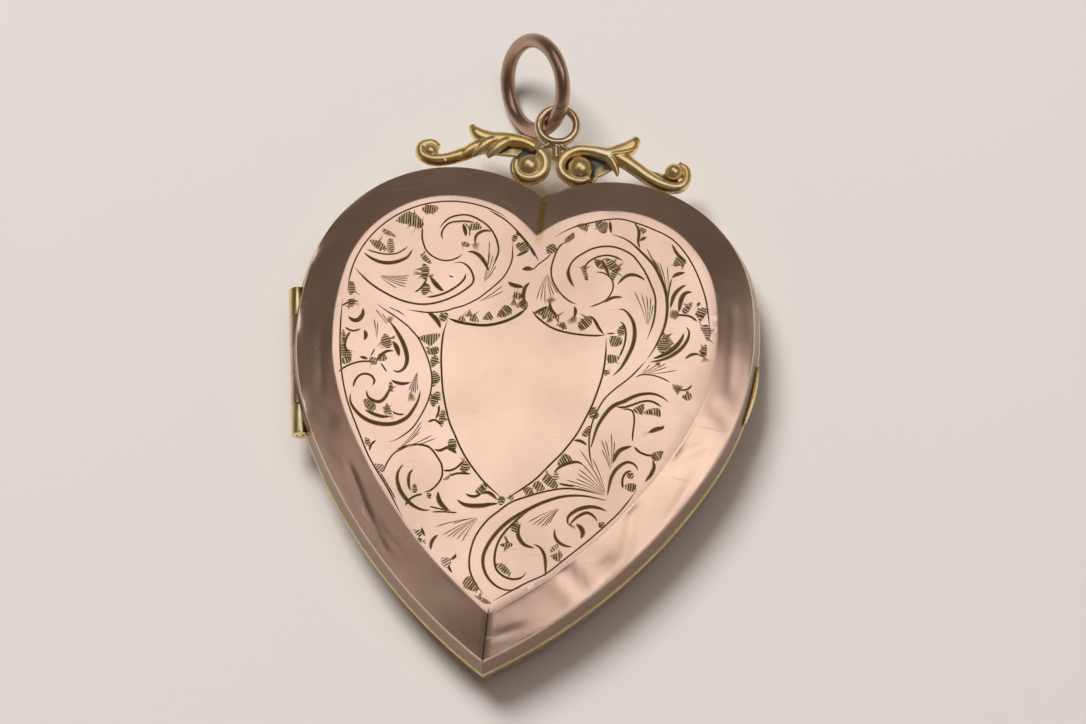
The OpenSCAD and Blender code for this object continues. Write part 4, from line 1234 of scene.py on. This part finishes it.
def casting(name, parts, surface, stands_for, cutters=(), voxel=0.04):
    """Fuses overlapping parts into one cast skin, softens it and marks its hollows with grime."""
    objects = [solid_object(f"{name}_{i}", *part) for i, part in enumerate(parts)]
    whole = objects[0]
    join(*objects)
    skin = whole.modifiers.new("skin", "REMESH")
    skin.mode, skin.voxel_size, skin.adaptivity = "VOXEL", voxel, 0.0
    soft = whole.modifiers.new("soft", "SMOOTH")
    soft.factor, soft.iterations = 0.5, 3
    carve(whole, *cutters)
    whole.name = name
    add_grime(whole.data)
    finish_piece(whole, surface, "case_back", stands_for, 60)


def seat_cutters():
    """Room for the case: the back wall and rim, and a clear gap to the lid."""
    levels = ((-0.14, -1, 2.10), (BEAD_OUT, 2.09, 2.28), (BEAD_OUT + 0.06, 2.27, 5.3))
    return [solid_object("seat_cutter", *heart_slab(*level, 0.0), weld=True) for level in levels]


def add_grime(mesh):
    """Point attribute "grime": high in hollows and low down, low on crests."""
    n = len(mesh.vertices)
    co, no, ends = np.zeros(n * 3), np.zeros(n * 3), np.zeros(len(mesh.edges) * 2, int)
    mesh.vertices.foreach_get("co", co)
    mesh.vertex_normals.foreach_get("vector", no)
    mesh.edges.foreach_get("vertices", ends)
    co, no, ends = co.reshape(-1, 3), no.reshape(-1, 3), ends.reshape(-1, 2)
    degree = np.bincount(ends.ravel(), minlength=n)[:, None]

    def spread(values):
        total = np.zeros_like(values)
        np.add.at(total, ends[:, 0], values[ends[:, 1]])
        np.add.at(total, ends[:, 1], values[ends[:, 0]])
        return total / np.maximum(degree, 1)

    smooth = co.copy()
    for _ in range(7):
        smooth = spread(smooth)
    hollow = ((smooth - co) * no).sum(1, keepdims=True) / 0.05
    for _ in range(3):
        hollow = spread(hollow)
    low = np.clip((SCROLL_Z + 0.06 - co[:, 2:3]) / 0.2, 0, 1) * np.clip(no[:, 2:3] * 1.5, 0.25, 1)
    grime = np.clip(0.10 + hollow * 1.3 + low * 0.60, 0, 1)
    mesh.attributes.new("grime", "FLOAT", "POINT").data.foreach_set("value", grime.ravel())


LEFT_VOLUTE, RIGHT_VOLUTE = (-1.12, 15.30), (1.93, 15.42)
LOOP_C = Vector((0.30, 18.06, SEAM + 0.55))


def scroll_left(surface):
    """Left casting: bold volute, acanthus arm of overlapping lobes and a rolled end."""
    volute = spiral(LEFT_VOLUTE, 0.74, 1.08, -200, 62, 0.22, 0.36, 14)
    crest = [(-0.85, 16.46, 0.34), (-1.60, 16.78, 0.38), (-2.60, 16.84, 0.42), (-3.50, 16.80, 0.44),
             (-4.20, 16.94, 0.42), (-4.60, 17.22, 0.32), (-4.82, 17.56, 0.19)]
    stem = [(-3.60, 16.45, 0.42), (-4.40, 16.02, 0.44), (-5.20, 15.56, 0.42), (-6.03, 15.20, 0.38),
            (-6.88, 15.06, 0.37), (-7.52, 15.30, 0.36), (-7.60, 15.85, 0.34), (-7.02, 16.12, 0.30),
            (-6.62, 15.85, 0.24)]
    parts = [arm(volute, RIDGED), arm(crest, RIDGED), arm(stem, OVAL), disc(LEFT_VOLUTE, 1.15, 2.30, 2.60),
             ball(LEFT_VOLUTE, 0.74, 2.72, 0.80, 32), ball((-7.05, 15.58), 0.50, 2.75)]
    for x, y in ((0.0, 0.0), (-0.88, -0.02), (-1.72, -0.42)):
        parts.append(arm([(x - 2.10, y + 16.98, 0.16), (x - 2.72, y + 16.58, 0.31),
                          (x - 3.24, y + 16.05, 0.29), (x - 3.62, y + 15.50, 0.12)], OVAL, 1.0, 2.90))
    for x in (-6.05, -6.62):
        ridge = [(x, 14.86, 0.07), (x - 0.12, 15.12, 0.10), (x - 0.10, 15.42, 0.07)]
        parts.append(arm(ridge, OVAL, 1.2, 3.02))
    web = [(-3.9, 16.9), (-1.2, 16.8), (-1.9, 15.9), (-3.2, 15.9), (-4.6, 15.9)]
    parts.append(plate(web, 2.34, 2.66))
    casting("scroll_left_cast", parts, surface, "scroll_left", seat_cutters())


def scroll_right(surface):
    """Right casting: open volute that runs out into a leaf, a cusp and a tail rolled round a bead."""
    volute = [(2.60, 14.86, 0.17), (2.10, 14.58, 0.22), (1.50, 14.62, 0.26), (0.98, 14.95, 0.28),
              (0.76, 15.45, 0.30), (0.98, 16.10, 0.31), (1.68, 16.54, 0.34), (2.60, 16.60, 0.38),
              (3.50, 16.48, 0.48), (4.20, 16.72, 0.54), (4.76, 17.16, 0.42), (5.14, 17.72, 0.24)]
    tail = [(3.90, 16.52, 0.42), (4.60, 16.16, 0.42), (5.26, 15.76, 0.40), (6.20, 15.16, 0.37),
            (7.12, 14.80, 0.33), (7.90, 14.82, 0.29), (8.30, 15.32, 0.26), (8.20, 15.98, 0.24),
            (7.72, 16.26, 0.22)]
    cusp = [(3.50, 16.40, 0.40), (3.86, 15.92, 0.30), (4.10, 15.50, 0.18), (4.20, 15.16, 0.08)]
    vein = [(3.3, 16.35, 0.10), (4.1, 16.50, 0.16), (4.8, 16.75, 0.14), (5.2, 17.15, 0.06)]
    inner_web = [(2.6, 16.4), (3.9, 16.4), (3.9, 15.7), (3.1, 15.1), (2.6, 15.2)]
    outer_web = [(4.9, 16.2), (6.3, 15.75), (7.2, 15.6), (7.9, 15.2), (7.0, 14.8), (5.4, 15.5)]
    parts = [arm(volute, RIDGED), arm(tail, RIDGED), arm(cusp), disc(RIGHT_VOLUTE, 1.15, 2.30, 2.58),
             ball(RIGHT_VOLUTE, 0.76, 2.72, 0.80, 32), ball((7.50, 15.72), 0.56, 2.80, 0.95, 32),
             ball((2.32, 15.05), 0.30, 2.75), arm(vein, OVAL, 1.2, 3.0),
             plate(inner_web, 2.34, 2.60), plate(outer_web, 2.34, 2.64)]
    casting("scroll_right_cast", parts, surface, "scroll_right", seat_cutters())


# ---------------------------------------------------------------- loop and jump ring
def wire_ring(radius, wire, matrix, bumps, count, flat=0.0, gap=None):
    """Ring of drawn wire.

    bumps scales its hand-made unevenness, flat its wear outside; gap is the angle of its butt joint.
    """
    verts = []
    for i in range(count[0]):
        a = 2 * math.pi * i / count[0]
        nick = 0.0
        if gap is not None:
            away = ((a - gap + math.pi) % (2 * math.pi) - math.pi) * radius
            nick = 0.11 * math.exp(-(away / 0.045) ** 2)
        for k in range(count[1]):
            b = 2 * math.pi * k / count[1]
            uneven = noise.noise(Vector((math.cos(a) * 2, math.sin(a) * 2, b * 0.6))) * bumps
            r = wire * (1 - nick - abs(uneven) - flat * max(0, math.cos(b)) ** 4)
            out = radius + r * math.cos(b)
            verts.append((out * math.cos(a), out * math.sin(a), r * math.sin(b)))
    n, m = count
    faces = [(i * m + k, ((i + 1) % n) * m + k, ((i + 1) % n) * m + (k + 1) % m, i * m + (k + 1) % m)
             for i in range(n) for k in range(m)]
    return placed(verts, matrix), faces


def bail_loop(surface):
    """Loop that faces up, its foot soldered between the castings."""
    ring = wire_ring(1.13, 0.262, Matrix.Translation(LOOP_C), 0.05, (96, 24))
    foot = [(0.34, 17.02, 0.24), (0.38, 16.6, 0.29), (0.43, 16.2, 0.31), (0.47, 15.93, 0.32)]
    solder = [(-0.62, 16.42, 0.13), (-0.10, 16.74, 0.20), (0.42, 16.80, 0.22), (0.95, 16.62, 0.17),
              (1.3, 16.5, 0.10)]
    parts = [ring, arm(foot, OVAL, 1.0), arm(solder, OVAL, 1.1, 2.78)]
    casting("bail_loop_soldered", parts, surface, "bail_loop", voxel=0.03)


def jump_ring(surface):
    """Heavier ring that leans back in the loop."""
    matrix = (Matrix.Translation((-1.38, 20.64, SEAM + 0.46))
              @ Matrix.Rotation(math.radians(210.6), 4, "Z")
              @ Matrix.Rotation(math.radians(58.2), 4, "Y"))
    verts, faces = wire_ring(2.70, 0.448, matrix, 0.035, (240, 40), 0.03, math.radians(118))
    mesh_piece("jump_ring_wire", verts, faces, surface, "jump_ring", "jump_ring", 45)


def build():
    add_camera()
    add_lights()
    add_floor()
    rose = worn_gold("plain_rose_gold", (0.85, 0.61, 0.48), (0.70, 0.44, 0.31), 0.24)
    gilt = gilt_rim()
    front_cover(engraved_gold())
    back_cover(rose)
    rims(gilt)
    inserts(gilt, celluloid(), card_paper())
    hinge(rose, gilt)
    thumb_lip(gilt)
    cast = casting_gold()
    scroll_left(cast)
    scroll_right(cast)
    bail_loop(worn_gold("pale_gold", (0.84, 0.64, 0.42), (0.58, 0.40, 0.24), 0.26))
    jump_ring(worn_gold("copper_gold", (0.60, 0.40, 0.31), (0.30, 0.19, 0.145), 0.28, blotch=0.6))


build()
